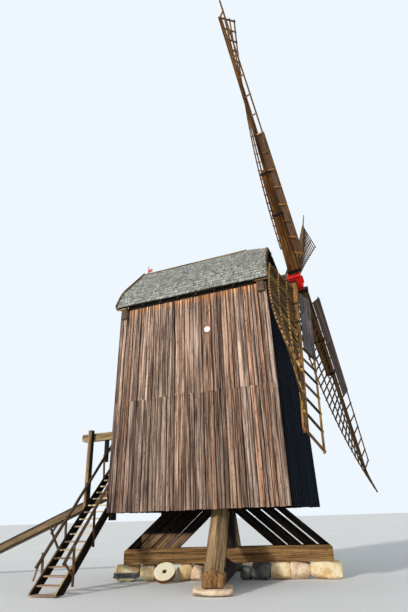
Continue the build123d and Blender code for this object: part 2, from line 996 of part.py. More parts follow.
def make_all():
    sails = range(4)
    roof = make_roof_slope()
    side_wall = make_side_wall()
    whips = [shaft_frame * sail_turn(index) * make_whip(index) for index in sails]
    nodes = {
        "pier_stones": make_pier_stones(),
        "slab_stones": make_slab_stones(),
        "cross_tree_lower": make_lower_tree(),
        "cross_tree_upper": make_upper_tree(),
        "main_post": make_post(),
        "quarterbars_long": make_long_bars(),
        "quarterbars_cross": make_cross_bars(),
        "millstone": make_millstone(),
        "side_wall_near": side_wall,
        "side_wall_far": mirror(side_wall, about=Plane.XZ),
        "breast_wall": make_breast_wall(),
        "tail_wall_near": make_tail_wall_near(),
        "tail_wall_far": make_tail_wall_far(),
        "tail_wall_under_door": make_tail_wall_under(),
        "tail_wall_over_door": make_tail_wall_over(),
        "door": make_door(),
        "floor": make_floor(),
        "crown_tree": make_crown_tree(),
        "weather_beam": make_weather_beam(),
        "tail_beam": make_tail_beam(),
        "shaft_bearings": make_bearings(),
        "wall_plates": make_wall_plates(),
        "roof_far": roof,
        "roof_near": mirror(roof, about=Plane.XZ),
        "round_disc": make_disc(),
        "landing": make_landing(),
        "ladder_sides": make_ladder_sides(),
        "ladder_treads": make_treads(),
        "handrails": make_handrails(),
        "tail_pole": make_tail_pole(),
        "hanger_beam": make_hanger_beam(),
        "pole_hangers": make_hangers(),
        "corner_blocks": make_corner_blocks(),
        "vane_spindle": make_spindle(),
        "windshaft": make_windshaft(),
        "poll_end": make_poll_end(),
        "stock_front": make_stock(0),
        "stock_back": make_stock(1),
        "whips": Compound(children=whips),
        "leading_boards": Compound(children=[make_leading_board(index) for index in sails]),
        "weather_vane": make_vane(),
    }
    for index in sails:
        nodes[f"sail_lattice_{index + 1}"] = make_lattice(index)
    return nodes


for node_name, node_shape in make_all().items():
    save(node_shape, node_name)
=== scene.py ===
import math
import random

import bmesh
import bpy
from mathutils import Matrix, Vector, noise


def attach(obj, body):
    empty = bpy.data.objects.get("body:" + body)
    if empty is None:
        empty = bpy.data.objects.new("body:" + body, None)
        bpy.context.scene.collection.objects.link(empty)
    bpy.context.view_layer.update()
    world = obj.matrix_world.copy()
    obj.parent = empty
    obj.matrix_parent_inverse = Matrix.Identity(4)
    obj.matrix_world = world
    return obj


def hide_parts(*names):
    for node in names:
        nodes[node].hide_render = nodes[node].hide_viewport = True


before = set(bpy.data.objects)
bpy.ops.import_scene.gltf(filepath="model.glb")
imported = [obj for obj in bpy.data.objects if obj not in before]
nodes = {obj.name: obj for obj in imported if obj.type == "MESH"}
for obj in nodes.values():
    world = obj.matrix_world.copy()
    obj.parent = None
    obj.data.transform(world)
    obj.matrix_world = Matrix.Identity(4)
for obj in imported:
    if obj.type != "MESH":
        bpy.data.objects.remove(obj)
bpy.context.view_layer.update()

ALONG, ACROSS, UP = (1, 0, 0), (0, 1, 0), (0, 0, 1)

# Sizes in metres, the same as in the part's source
BREAST_X, TAIL_X = 2.77, -3.23
BODY_BOTTOM, WALL_TOP = 2.02, 9.05
HALF_WIDTH = 2.08
LEAN_IN = 0.13
LEAN = LEAN_IN / (WALL_TOP - BODY_BOTTOM)
FLOOR_TOP = 3.52
DOOR_Y = (0.45, 1.35)
DOOR_TOP = 5.30
DOOR_INSET = 0.02
EAVE_Z = 9.20
EAVE_Y = HALF_WIDTH - LEAN_IN + 0.12
RIDGE_Z = EAVE_Z + 2.49
SHOULDER = (1.53, EAVE_Z + 0.915)
EAVE_CURVE = 0.038
ROOF_SLOPE = (RIDGE_Z - SHOULDER[1]) / SHOULDER[0]
ROOF_BACK = TAIL_X + LEAN_IN - 0.2
ROOF_FRONT = BREAST_X - LEAN_IN + 0.112
NOSE_LENGTH, NOSE_DROP = 1.25, 0.4
NOSE_START = ROOF_FRONT - NOSE_LENGTH
VERGE = math.tan(math.radians(8.4))
POLL = Vector((3.156, 0, 9.829))
TILT = math.radians(4.84)
SAIL_ANGLE = math.radians(45.8)
SAIL_RADIUS = 9.229
POLL_FACE = 0.31
STOCK_REACH = 4.25
STOCK_ROOT, STOCK_TIP = (0.30, 0.28), (0.22, 0.17)  # width and depth
WHIP_ROOT, WHIP_TIP = (0.21, 0.20), (0.11, 0.11)
WHIP_START = 0.38
TIP_FORWARD = 0.47
BAR_PITCH, BAYS, BOARD_BAYS = 0.622, 13, 7
LAST_BAR = SAIL_RADIUS - 0.03
FIRST_BAR = LAST_BAR - BAR_PITCH * BAYS
LEADING_WIDTH = 0.6
LONG_ANGLE, CROSS_ANGLE = 14, 104  # degrees, of the trestle's upper and lower tree
# Slopes of the quarterbars on the long and the short arms, from the heights and reaches of head and foot
LONG_SLOPE = math.atan2(2.012 - 0.93, 3.27 - 2.0)
EDGE_SLOPE = math.atan2(2.012 - 0.65, 3.31 - 1.58)
POLE_SLOPE = math.radians(19.6)
POLE_TOP, POLE_DEPTH = 4.2124, 0.32  # measured square to the tail pole

rng = random.Random(7)


def arm_direction(degrees):
    angle = math.radians(degrees)
    return Vector((math.cos(angle), math.sin(angle), 0))


def sloping(angle):
    return Vector((math.cos(angle), 0, math.sin(angle)))


def axes_at(place, *axes):
    """The frame with its origin at place and these three axes."""
    return Matrix.Translation(place) @ Matrix(axes).transposed().to_4x4()


def add_object(name, data):
    made = bpy.data.objects.new(name, data)
    bpy.context.scene.collection.objects.link(made)
    return made


# A sail's own frame has X across it, Y out along it and Z forward along the shaft
shaft_axis = sloping(TILT)
shaft_side = Vector(ACROSS)
shaft_up = shaft_axis.cross(shaft_side)
shaft_matrix = axes_at(POLL, shaft_side, shaft_up, shaft_axis)


def sail_matrix(index):
    return shaft_matrix @ Matrix.Rotation(SAIL_ANGLE + index * math.pi / 2, 4, "Z")


def srgb(red, green, blue):
    channels = []
    for value in (red, green, blue):
        share = value / 255
        channels.append(share / 12.92 if share <= 0.04045 else ((share + 0.055) / 1.055) ** 2.4)
    return (*channels, 1)


def tones(*colours):
    return tuple(srgb(*colour) for colour in colours)


def darker(colour, share):
    return tuple(channel * share for channel in colour[:3]) + (1,)


# Materials
def add_node(tree, kind, **values):
    """Values set attributes, or inputs by name or, as in i0, by number. A socket is linked."""
    made = tree.nodes.new(kind)
    for name, value in values.items():
        if hasattr(made, name):
            setattr(made, name, value)
            continue
        socket = made.inputs[int(name[1:])] if name[0] == "i" and name[1:].isdigit() else made.inputs[name]
        if isinstance(value, bpy.types.NodeSocket):
            tree.links.new(value, socket)
        else:
            socket.default_value = value
    return made


class Look:
    """A material in the making. Most methods add nodes and return their output."""

    def __init__(self, name, roughness=0.9, specular=0.25):
        self.material = bpy.data.materials.new(name)
        self.material.use_nodes = True
        self.tree = self.material.node_tree
        self.shader = self.tree.nodes["Principled BSDF"]
        self.shader.inputs["Roughness"].default_value = roughness
        self.shader.inputs["Specular IOR Level"].default_value = specular
        coordinates = self.node("ShaderNodeTexCoord").outputs
        self.place, self.normal = coordinates["Object"], coordinates["Normal"]

    def node(self, kind, **values):
        return add_node(self.tree, kind, **values)

    def attribute(self, name, output):
        return self.node("ShaderNodeAttribute", attribute_name=name).outputs[output]

    def mapped(self, vector, **how):
        return self.node("ShaderNodeMapping", Vector=vector, **how).outputs["Vector"]

    def noise(self, vector, scale, detail=4.0, roughness=0.55, distortion=0.0):
        """The scale is one number, or one for each axis."""
        if isinstance(scale, tuple):
            vector, scale = self.mapped(vector, Scale=scale), 1.0
        made = self.node(
            "ShaderNodeTexNoise", Vector=vector, Scale=scale, Detail=detail, Roughness=roughness,
            Distortion=distortion,
        )
        return made.outputs["Fac"]

    def ramp(self, value, *stops):
        made = self.node("ShaderNodeValToRGB", Fac=value)
        elements = made.color_ramp.elements
        while len(elements) < len(stops):
            elements.new(0.5)
        for element, (position, colour) in zip(elements, stops):
            element.position = position
            element.color = colour if isinstance(colour, tuple) else (colour, colour, colour, 1)
        return made.outputs["Color"]

    def mix(self, share, first, second, blend="MIX"):
        made = self.node("ShaderNodeMix", data_type="RGBA", blend_type=blend, i0=share, i6=first, i7=second)
        return made.outputs[2]

    def spot(self, colour, value, first, second, other):
        """The colour, covered by the other one as the ramp between two stops says."""
        return self.mix(self.ramp(value, first, second), colour, other)

    def calc(self, operation, first, second=0.0):
        return self.node("ShaderNodeMath", operation=operation, i0=first, i1=second).outputs[0]

    def size(self, value):
        return self.calc("ABSOLUTE", value)

    def product(self, total, *values):
        for value in values:
            total = self.calc("MULTIPLY", total, value)
        return total

    def dot(self, vector, way):
        made = self.node("ShaderNodeVectorMath", operation="DOT_PRODUCT", i0=vector, i1=tuple(way))
        return made.outputs["Value"]

    def along(self, way):
        return self.dot(self.place, way)

    def facing(self, way):
        return self.dot(self.normal, way)

    def rising(self, value, low, high):
        """0 below low and 1 above high, or the other way round where high is the smaller."""
        made = self.node("ShaderNodeMapRange", Value=value)
        made.inputs["From Min"].default_value = low
        made.inputs["From Max"].default_value = high
        return made.outputs["Result"]

    def finish(self, colour, height=None, strength=0.0, distance=0.0):
        self.tree.links.new(colour, self.shader.inputs["Base Color"])
        if height is not None:
            bump = self.node("ShaderNodeBump", Height=height, Strength=strength, Distance=distance)
            self.tree.links.new(bump.outputs["Normal"], self.shader.inputs["Normal"])
        return self.material


def folded(look, degrees):
    """Object coordinates with X out along an arm of the trestle, the same for the arm opposite."""
    turned = look.mapped(look.place, Rotation=(0, 0, -math.radians(degrees)))
    split = look.node("ShaderNodeSeparateXYZ", Vector=turned).outputs
    out = look.size(split["X"])
    return look.node("ShaderNodeCombineXYZ", X=out, Y=split["Y"], Z=split["Z"]).outputs["Vector"]


def grain_vector(look, direction, arms=None):
    """Coordinates whose X runs along the grain."""
    if direction is None:
        return look.attribute("grain", "Vector")
    along = Vector(direction).normalized()
    up = Vector(UP) if abs(along.z) < 0.9 else Vector(ACROSS)
    across = up.cross(along).normalized()
    turn = Matrix((along, across, along.cross(across))).to_euler()
    return look.mapped(look.place if arms is None else folded(look, arms), Rotation=turn)


def wood_colour(look, fibre, broad, palette, streaks):
    dark, middle, light = palette
    colour = look.ramp(fibre, (0.36, dark), (0.5, middle), (0.63, light))
    colour = look.spot(colour, broad, (0.36, streaks), (0.47, 0.0), darker(dark, 0.8))
    return look.spot(colour, broad, (0.55, 0.0), (0.66, streaks), light)


def end_grain(look, colour, grain, direction, palette):
    """Fine upright streaks and one crack where the surface looks along the grain."""
    dark, middle, light = palette
    streak = look.noise(grain, (1, 20, 5), 5, 0.6, 0.3)
    face = look.ramp(streak, (0.30, darker(dark, 1.6)), (0.50, darker(middle, 1.1)), (0.72, light))
    drift = look.product(look.noise(grain, (1, 2, 6), 3), 0.12)
    split = look.size(look.calc("ADD", look.dot(grain, ACROSS), drift))
    split = look.size(look.calc("SUBTRACT", split, 0.05))
    face = look.mix(look.rising(split, 0.014, 0.004), face, darker(dark, 0.3))
    ahead = look.size(look.facing(Vector(direction).normalized()))
    return look.mix(look.rising(ahead, 0.75, 0.85), colour, face)


def timber(
    name, direction, palette, arms=None, where=None, other=None, stain=None, stained=0.8, cracks=0.6,
    streaks=0.7, shine=0.25,
):
    """Weathered wood. Without a direction the piece's own grain and tint are used. Both arms of a tree
    share one grain where arms gives their angle. In the mask that where makes, the palette is other."""
    look = Look(name, specular=shine)
    dark = palette[0]
    grain = grain_vector(look, direction, arms)
    fibre = look.noise(grain, (0.8, 34, 34), 8, 0.68)
    broad = look.noise(grain, (0.28, 8.5, 8.5), roughness=0.6, distortion=0.2)
    colour = wood_colour(look, fibre, broad, palette, streaks)
    if where:
        colour = look.mix(where(look), colour, wood_colour(look, fibre, broad, other, streaks))
    if direction is not None and arms is None:
        colour = end_grain(look, colour, grain, direction, palette)
    specks = look.noise(grain, (5, 26, 26), 5, 0.8)
    colour = look.spot(colour, specks, (0.36, 0.75), (0.45, 0.0), darker(dark, 0.7))
    if stain:
        spots = look.noise(grain, (0.6, 2.4, 2.4), 7, 0.75)
        colour = look.spot(colour, spots, (0.50, 0.0), (0.64, stained), stain)
    knots = look.node("ShaderNodeTexVoronoi", Vector=look.mapped(grain, Scale=(1.7, 5, 5)), Scale=1.0)
    colour = look.spot(colour, knots.outputs["Distance"], (0.05, 0.8), (0.13, 0.0), dark)
    split = look.noise(grain, (0.4, 17, 17), 3, 0.5, 0.3)
    crack = look.mix(cracks, (0, 0, 0, 1), look.ramp(split, (0.33, 1.0), (0.37, 0.0)))
    colour = look.mix(crack, colour, darker(dark, 0.25))
    if direction is None:
        colour = look.mix(1.0, colour, look.attribute("tint", "Color"), "MULTIPLY")
    height = look.mix(0.55, fibre, look.ramp(split, (0.30, 0.0), (0.39, 1.0)))
    return look.finish(colour, height, 0.8, 0.014)


def stone_material(name, palette, dark=0.35, where=None, other=None):
    """The palette is the blotches' two colours and the lichen's."""
    look = Look(name, 0.95)
    low, high, moss = palette
    blotch = look.noise(look.place, 2.6, 8, 0.68)
    colour = look.ramp(blotch, (0.36, low), (0.56, high))
    if where:
        colour = look.mix(where(look), colour, look.ramp(blotch, (0.36, other[0]), (0.56, other[1])))
    vein = look.noise(look.place, 9, 6, 0.7, 0.8)
    colour = look.spot(colour, vein, (0.33, dark), (0.46, 0.0), darker(low, 0.45))
    speck = look.noise(look.place, 46, 3, 0.7)
    colour = look.spot(colour, speck, (0.35, 0.6), (0.48, 0.0), darker(low, 0.7))
    lichen = look.noise(look.place, 5, 7, 0.75)
    colour = look.spot(colour, lichen, (0.55, 0.0), (0.64, 0.75), moss)
    foot = look.calc("ADD", look.along(UP), look.product(vein, 0.12))
    colour = look.mix(look.product(look.rising(foot, 0.16, 0.07), 0.5), colour, darker(low, 0.35))
    return look.finish(colour, look.mix(0.4, vein, speck), 0.9, 0.03)


def painted(name, colour, wear_and_light, roughness=0.55, metallic=0.0, amount=0.5):
    look = Look(name, roughness)
    look.shader.inputs["Metallic"].default_value = metallic
    fade = look.noise(look.place, 5, 6, 0.7)
    speck = look.noise(look.place, 60, 3)
    colour = look.spot(colour, fade, (0.5, 0.0), (0.75, amount), wear_and_light)
    colour = look.spot(colour, speck, (0.6, 0.0), (0.7, amount), wear_and_light)
    look.tree.links.new(look.ramp(fade, (0.3, roughness), (0.8, 0.95)), look.shader.inputs["Roughness"])
    return look.finish(colour, look.mix(0.5, fade, speck), 0.3, 0.004)


def shingle_material():
    look = Look("roof_shingles", 0.92)
    streak = look.noise(look.attribute("grain", "Vector"), (4, 60, 60), 5, 0.6)
    low, middle, high = tones((80, 79, 70), (152, 153, 144), (230, 231, 224))
    colour = look.ramp(streak, (0.36, low), (0.5, middle), (0.64, high))
    colour = look.mix(1.0, colour, look.attribute("tint", "Color"), "MULTIPLY")
    moss = look.noise(look.place, 0.9, 10, 0.8)
    colour = look.spot(colour, moss, (0.50, 0.0), (0.70, 0.40), srgb(126, 122, 84))
    return look.finish(colour, streak, 0.6, 0.006)


def floor_material():
    look = Look("floor_pale", 0.95)
    soft = look.noise(look.place, 0.2, 2)
    return look.finish(look.ramp(soft, (0.3, srgb(226, 226, 224)), (0.7, srgb(232, 232, 230))))


def poll_material():
    """Red in front with a black line beside each socket, bare and rusty behind."""
    look = Look("iron_poll", 0.75)
    ahead = look.calc("SUBTRACT", look.along(shaft_axis), POLL.dot(shaft_axis))
    beside = []
    for turn in (SAIL_ANGLE, SAIL_ANGLE + math.pi / 2):
        way = shaft_side * math.cos(turn) + shaft_up * math.sin(turn)
        beside.append(look.size(look.calc("SUBTRACT", look.along(way), POLL.dot(way))))
    near = look.calc("MINIMUM", *beside)
    line = look.product(look.rising(near, 0.203, 0.208), look.rising(near, 0.245, 0.240))
    fade = look.noise(look.place, 6, 6, 0.7)
    red = look.ramp(fade, (0.3, srgb(160, 18, 12)), (0.45, srgb(222, 16, 8)), (0.62, srgb(236, 30, 14)))
    bare = look.ramp(fade, (0.35, srgb(92, 60, 44)), (0.5, srgb(150, 108, 82)), (0.65, srgb(196, 156, 128)))
    colour = look.mix(look.rising(ahead, -0.07, -0.05), bare, red)
    return look.finish(look.mix(line, colour, srgb(18, 14, 14)), fade, 0.3, 0.004)


# Masks: 1 where a material takes its other palette
def block_light_and_shade(look):
    """The block at the tail end: pale on top as painted light and pale at the foot, with a dark blue-grey
    band of painted shade in between.
    """
    height = look.calc("ADD", look.along(UP), look.product(look.noise(look.place, 5), 0.10))
    return look.calc("MAXIMUM", look.rising(height, 0.31, 0.34), look.rising(height, 0.17, 0.14))


def under_body_shade(look):
    """The inner part of the lower tree, darker as painted shade where it lies under the body."""
    return look.rising(look.size(look.along(arm_direction(CROSS_ANGLE))), 2.72, 2.55)


def bar_feet_sunlit(look):
    """Feet of the inner bars at the tail end, paler as painted sunlight below the shadow of the body."""
    x = look.along(ALONG)
    low = look.rising(look.along(UP), 1.38, 1.32)
    return look.product(low, look.rising(x, -2.68, -2.62), look.rising(x, 0.0, -0.2))


def pole_edge_shade(look):
    """Dark lines of painted shade along the two long edges of the pole's side faces."""
    across = look.along((-math.sin(POLE_SLOPE), 0, math.cos(POLE_SLOPE)))
    bottom = POLE_TOP - POLE_DEPTH
    edges = look.calc(
        "MAXIMUM", look.rising(across, POLE_TOP - 0.068, POLE_TOP - 0.050),
        look.rising(across, bottom + 0.060, bottom + 0.045),
    )
    return look.product(look.rising(look.size(look.facing(ACROSS)), 0.3, 0.6), edges)


def string_lit_edges(look):
    """Upper edges and front ends of the ladder's strings, paler as painted light."""
    upper = look.rising(look.facing((0, -0.7, 0.7)), 0.5, 0.8)
    wear_and_light = look.calc("MAXIMUM", upper, look.rising(look.facing((0, -1, 0)), 0.6, 0.9))
    return look.product(wear_and_light, look.rising(look.along(ACROSS), -2.9, -3.5))


def low_treads(look):
    """The lowest treads are browner from the feet that use them."""
    return look.rising(look.along(UP), 0.95, 0.75)


# Faces turned to the near side, made pale as painted light.
def lit_near_faces(look):
    return look.rising(look.facing((0, -1, 0)), 0.5, 0.8)


def hanger_lit_face(look):
    """Only the long hanger's near face is pale, as painted light; its other faces keep the near-black
    palette of painted shade.
    """
    return look.product(lit_near_faces(look), look.rising(look.along(ALONG), -5.1, -5.2))


# Palettes from dark to light, and the looks of the pieces made here
OAK = tones((66, 45, 27), (128, 93, 55), (178, 138, 88))
GREY = tones((74, 58, 42), (142, 114, 82), (206, 174, 128))
BAR = tones((92, 70, 48), (158, 128, 90), (210, 178, 134))
POLE = tones((70, 57, 42), (116, 95, 68), (160, 134, 100))
BEAM = tones((92, 76, 54), (170, 145, 102), (220, 194, 148))
BEAM_END = tones((50, 40, 33), (98, 79, 64), (148, 124, 102))
FOOT = tones((58, 43, 31), (116, 89, 64), (164, 133, 100))
DARK = tones((28, 22, 18), (66, 52, 40), (116, 92, 68))
# This near-black palette is painted shade for timbers that lie in shadow under and inside the body.
SHADE_BLACK = tones((10, 8, 7), (26, 21, 18), (54, 44, 36))
STOCK = tones((46, 26, 12), (103, 62, 30), (166, 115, 64))
TREAD = tones((150, 122, 92), (226, 202, 162), (250, 232, 196))
LOW_TREAD = tones((104, 82, 68), (170, 140, 116), (206, 178, 152))
LICHEN = srgb(168, 144, 72)

wood_boards = timber("wood_boards", None, tones((54, 39, 32), (137, 109, 92), (218, 187, 164)), cracks=0.85)
# Dark navy boards for the breast wall: painted shade, as this wall faces away from the sun.
wood_breast_shade = timber(
    "wood_breast_shade", None, tones((10, 15, 22), (20, 27, 37), (36, 45, 57)), streaks=0.4, shine=0.03
)
wood_dark = timber("wood_dark", None, tones((22, 18, 15), (46, 36, 29), (88, 70, 54)))
wood_grey = timber("wood_grey", None, tones((66, 54, 44), (126, 104, 82), (196, 170, 136)))
wood_rail = timber("wood_rail", None, tones((38, 29, 23), (92, 72, 55), (150, 122, 94)), streaks=0.9)
wood_sail = timber(
    "wood_sail", None, tones((44, 28, 16), (108, 75, 44), (178, 136, 88)), stain=LICHEN, stained=0.3
)
wood_lichen = timber("wood_lichen", None, tones((44, 32, 24), (104, 80, 58), (176, 144, 104)), stain=LICHEN)
sail_planks = timber("sail_board_planks", None, tones((58, 52, 52), (104, 94, 90), (150, 138, 126)))
shingles = shingle_material()
iron = painted("iron_black", *tones((24, 22, 22), (70, 44, 32)), 0.6, 0.3)
white_paint = painted("paint_white", *tones((242, 246, 250), (206, 210, 214)), 0.5, 0.0, 0.4)
disc_ring = painted("disc_ring", *tones((150, 98, 80), (96, 62, 52)), 0.7)
vane_red = painted("vane_red", *tones((196, 62, 72), (234, 218, 218)), 0.6, 0.0, 0.9)
stone_cream = stone_material("stone_cream", tones((226, 184, 128), (255, 238, 196), (232, 204, 128)))
stone_pink = stone_material("stone_pink", tones((214, 172, 132), (255, 234, 206), (228, 202, 140)))
# The grey stone's dark bluish tone is partly its own colour and partly painted shade for stones that lie in
# shadow.
stone_grey = stone_material("stone_grey", tones((50, 58, 68), (118, 116, 112), (150, 140, 112)), 0.5)
stone_mill = stone_material("stone_mill", tones((252, 236, 196), (255, 252, 228), (244, 228, 186)), 0.06)
stone_rust = stone_material("stone_rust", tones((84, 46, 34), (150, 100, 74), (176, 140, 90)), 0.5)
stone_block = stone_material(
    "stone_block", tones((48, 56, 66), (104, 106, 108), (130, 124, 106)), 0.5, where=block_light_and_shade,
    other=tones((246, 208, 144), (255, 242, 194)),
)


# The solids' materials and softened edges
def dress(name, look):
    materials = nodes[name].data.materials
    if materials:
        materials[0] = look
    else:
        materials.append(look)


def dress_timber(name, direction, palette, **options):
    dress(name, timber(f"{name}_wood", direction, palette, **options))


# Pieces that lie in shadow take the near-black palette, as painted shade.
for direction, palette, names in (
    (UP, SHADE_BLACK, ("main_post", "side_wall_near", "side_wall_far", "breast_wall", "tail_wall_near")),
    (UP, SHADE_BLACK, ("tail_wall_far", "tail_wall_under_door", "tail_wall_over_door")),
    (UP, DARK, ("door",)),
    (ACROSS, SHADE_BLACK, ("crown_tree", "roof_near", "roof_far")),
    (ACROSS, BEAM_END, ("weather_beam", "tail_beam")),
    (ACROSS, DARK, ("shaft_bearings",)),
    (ACROSS, GREY, ("landing",)),
    (ALONG, SHADE_BLACK, ("wall_plates",)),
    (ALONG, DARK, ("floor",)),
    (ALONG, BEAM, ("hanger_beam",)),
    ((0, 0.7, 0.7), DARK, ("handrails",)),
    (shaft_axis, DARK, ("windshaft",)),
    (arm_direction(LONG_ANGLE), OAK, ("cross_tree_upper",)),
):
    for name in names:
        dress_timber(name, direction, palette)
dress_timber("cross_tree_lower", arm_direction(CROSS_ANGLE), OAK, where=under_body_shade, other=SHADE_BLACK)
dress_timber(
    "quarterbars_long", sloping(math.pi - LONG_SLOPE), SHADE_BLACK, arms=LONG_ANGLE, where=bar_feet_sunlit, other=FOOT,
    shine=0.05,
)
dress_timber("quarterbars_cross", sloping(math.pi - EDGE_SLOPE), BAR, arms=CROSS_ANGLE)
dress_timber("ladder_sides", (0, 0.7125, 0.7017), SHADE_BLACK, where=string_lit_edges, other=GREY, shine=0.05)
dress_timber("ladder_treads", ALONG, TREAD, where=low_treads, other=LOW_TREAD)
dress_timber("tail_pole", sloping(POLE_SLOPE), POLE, where=pole_edge_shade, other=SHADE_BLACK)
dress_timber("pole_hangers", UP, SHADE_BLACK, where=hanger_lit_face, other=GREY)
dress_timber("corner_blocks", ACROSS, SHADE_BLACK, where=lit_near_faces, other=GREY)
for index, name in enumerate(("stock_front", "stock_back")):
    dress_timber(name, sail_matrix(index).to_3x3() @ Vector(ACROSS), STOCK, stain=LICHEN, stained=0.35)
for name in ("whips", "leading_boards", *(f"sail_lattice_{number}" for number in range(1, 5))):
    dress(name, wood_sail)
for name, look in (
    ("round_disc", white_paint), ("vane_spindle", iron), ("weather_vane", vane_red),
    ("poll_end", poll_material()), ("millstone", stone_mill), ("pier_stones", stone_cream),
    ("slab_stones", stone_pink),
):
    dress(name, look)

for width, names in (
    (0.018, ("cross_tree_lower", "cross_tree_upper", "tail_pole")),
    (0.016, ("quarterbars_cross",)),
    (0.014, ("quarterbars_long", "weather_beam", "tail_beam")),
    (0.012, ("hanger_beam", "pole_hangers", "stock_front", "stock_back", "corner_blocks")),
    (0.010, ("poll_end",)),
    (0.006, ("ladder_sides", "ladder_treads", "handrails")),
):
    for name in names:
        weld = nodes[name].modifiers.new("weld", "WELD")
        weld.merge_threshold = 0.0002
        soften = nodes[name].modifiers.new("soften", "BEVEL")
        soften.width = width
        soften.segments = 2
        soften.limit_method = "ANGLE"
        soften.angle_limit = math.radians(35)


# Pieces made of timbers
def multiplied(colour, *others):
    for other in others:
        colour = tuple(a * b for a, b in zip(colour, other))
    return colour


def random_tint(low, high, warm):
    level = rng.uniform(low, high)
    shift = rng.uniform(-warm, warm)
    return (level * (1 + shift), level, level * (1 - shift))


def fix_normals(mesh):
    work = bmesh.new()
    work.from_mesh(mesh)
    bmesh.ops.recalc_face_normals(work, faces=work.faces)
    work.to_mesh(mesh)
    work.free()


def place_piece(name, mesh, body, replaces=()):
    made = add_object(name, mesh)
    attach(made, body)
    if replaces:
        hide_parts(*replaces)


def chamfered(half_width, half_depth, edge):
    """The eight corners of a bar's section, as (across, out)."""
    corners = []
    for a, b in ((-1, -1), (1, -1), (1, 1), (-1, 1)):
        pair = [(a * half_width, b * (half_depth - edge)), (a * (half_width - edge), b * half_depth)]
        corners += pair if a == b else pair[::-1]
    return corners


class Timbers:
    """Timber pieces collected in one mesh, each with its own grain and tint."""

    def __init__(self, name):
        self.name = name
        self.points, self.faces, self.grain, self.tint = [], [], [], []

    def loops(self, rings, starts, tint, closed_back=True):
        """Rings are lists of (point, across, out, shade), and starts their places along the grain."""
        first = len(self.points)
        size = len(rings[0])
        shift = (rng.uniform(0, 40), rng.uniform(0, 9), rng.uniform(0, 9))
        for ring, start in zip(rings, starts):
            for point, across, out, *shade in ring:
                self.points.append(point)
                self.grain.append((start + shift[0], across + shift[1], out + shift[2]))
                self.tint.append(multiplied(tint, *shade))
        for low in range(first, first + (len(rings) - 1) * size, size):
            high = low + size
            for place in range(size if closed_back else size - 1):
                after = (place + 1) % size
                self.faces.append((low + place, low + after, high + after, high + place))
        self.faces.append(tuple(reversed(range(first, first + size))))
        last = first + (len(rings) - 1) * size
        self.faces.append(tuple(range(last, last + size)))

    def bar(self, start, end, across, width, depth, tint, edge=0.006, rings=2, wobble=0.0):
        start, end = Vector(start), Vector(end)
        along = (end - start).normalized()
        side = (Vector(across) - along * along.dot(Vector(across))).normalized()
        out = along.cross(side)
        section = chamfered(width / 2, depth / 2, edge)
        made, starts = [], []
        for step in range(rings):
            share = step / (rings - 1)
            middle = start.lerp(end, share)
            if wobble:
                middle = middle + side * rng.uniform(-wobble, wobble) + out * rng.uniform(-wobble, wobble)
            made.append([(middle + side * w + out * d, w, d) for w, d in section])
            starts.append(share * (end - start).length)
        self.loops(made, starts, tint)

    def finish(self, look, body, slot, replaces=()):
        mesh = bpy.data.meshes.new(self.name)
        mesh.from_pydata([tuple(point) for point in self.points], [], self.faces)
        grain = mesh.attributes.new("grain", "FLOAT_VECTOR", "POINT")
        grain.data.foreach_set("vector", [value for item in self.grain for value in item])
        tint = mesh.attributes.new("tint", "FLOAT_COLOR", "POINT")
        tint.data.foreach_set("color", [value for item in self.tint for value in (*item, 1)])
        mesh.materials.append(look)
        fix_normals(mesh)
        place_piece(self.name, mesh, body, replaces)


# Walls of upright boards; share runs from 0 to 1 along a wall, as seen from outside
BOARD, BOARD_GAP, BOARD_EDGE = 0.022, 0.006, 0.004
PROUD, PROUD_END, FLUSH = 0.017, 0.012, 0.001  # how far boards stand off the wall
SIDE_COUNT, END_COUNT = 38, 26
SIDE_SEAM, END_SEAM = 5.5, 5.6  # height of the joint between the two tiers
SHORTEST = 0.05
# The edge tone darkens each board's sides and edges as painted shade in the gaps between boards.
PLAIN, GAP_SHADE = (1, 1, 1), (0.42, 0.40, 0.40)
BOARD_KINDS = (  # up to this share of all boards: the tone, and how its level varies
    (0.10, (1.30, 1.32, 1.34), (0.92, 1.06)), (0.24, (1.13, 0.95, 0.82), (0.9, 1.1)),
    (0.46, (0.72, 0.69, 0.68), (0.85, 1.1)),
)


def half_width_at(z):
    return HALF_WIDTH - LEAN * (z - BODY_BOTTOM)


def breast_at(z):
    return BREAST_X - LEAN * (z - BODY_BOTTOM)


def tail_at(z):
    return TAIL_X + LEAN * (z - BODY_BOTTOM)


def near_point(share, z, out):
    x = tail_at(z) + share * (breast_at(z) - tail_at(z))
    return Vector((x, -half_width_at(z) - out, z))


def far_point(share, z, out):
    x = breast_at(z) - share * (breast_at(z) - tail_at(z))
    return Vector((x, half_width_at(z) + out, z))


def breast_point(share, z, out):
    y = (2 * share - 1) * half_width_at(min(z, WALL_TOP))
    x = breast_at(z) if z < WALL_TOP else breast_at(WALL_TOP) - VERGE * (z - WALL_TOP)
    return Vector((x + out, y, z))


def tail_point(share, z, out):
    y = (1 - 2 * share) * half_width_at(min(z, WALL_TOP))
    return Vector((tail_at(min(z, WALL_TOP)) - out, y, z))


def wall_shade(z):
    """Boards are darker near the ground, and paler and warmer under the eave."""
    level = 0.84 + 0.20 * min(1, (z - BODY_BOTTOM) / 5)
    warm = max(0, min(1, (z - WALL_TOP + 0.26) / 0.18))
    return (level * (1 + 0.60 * warm), level * (1 + 0.20 * warm), level * (1 - 0.22 * warm))


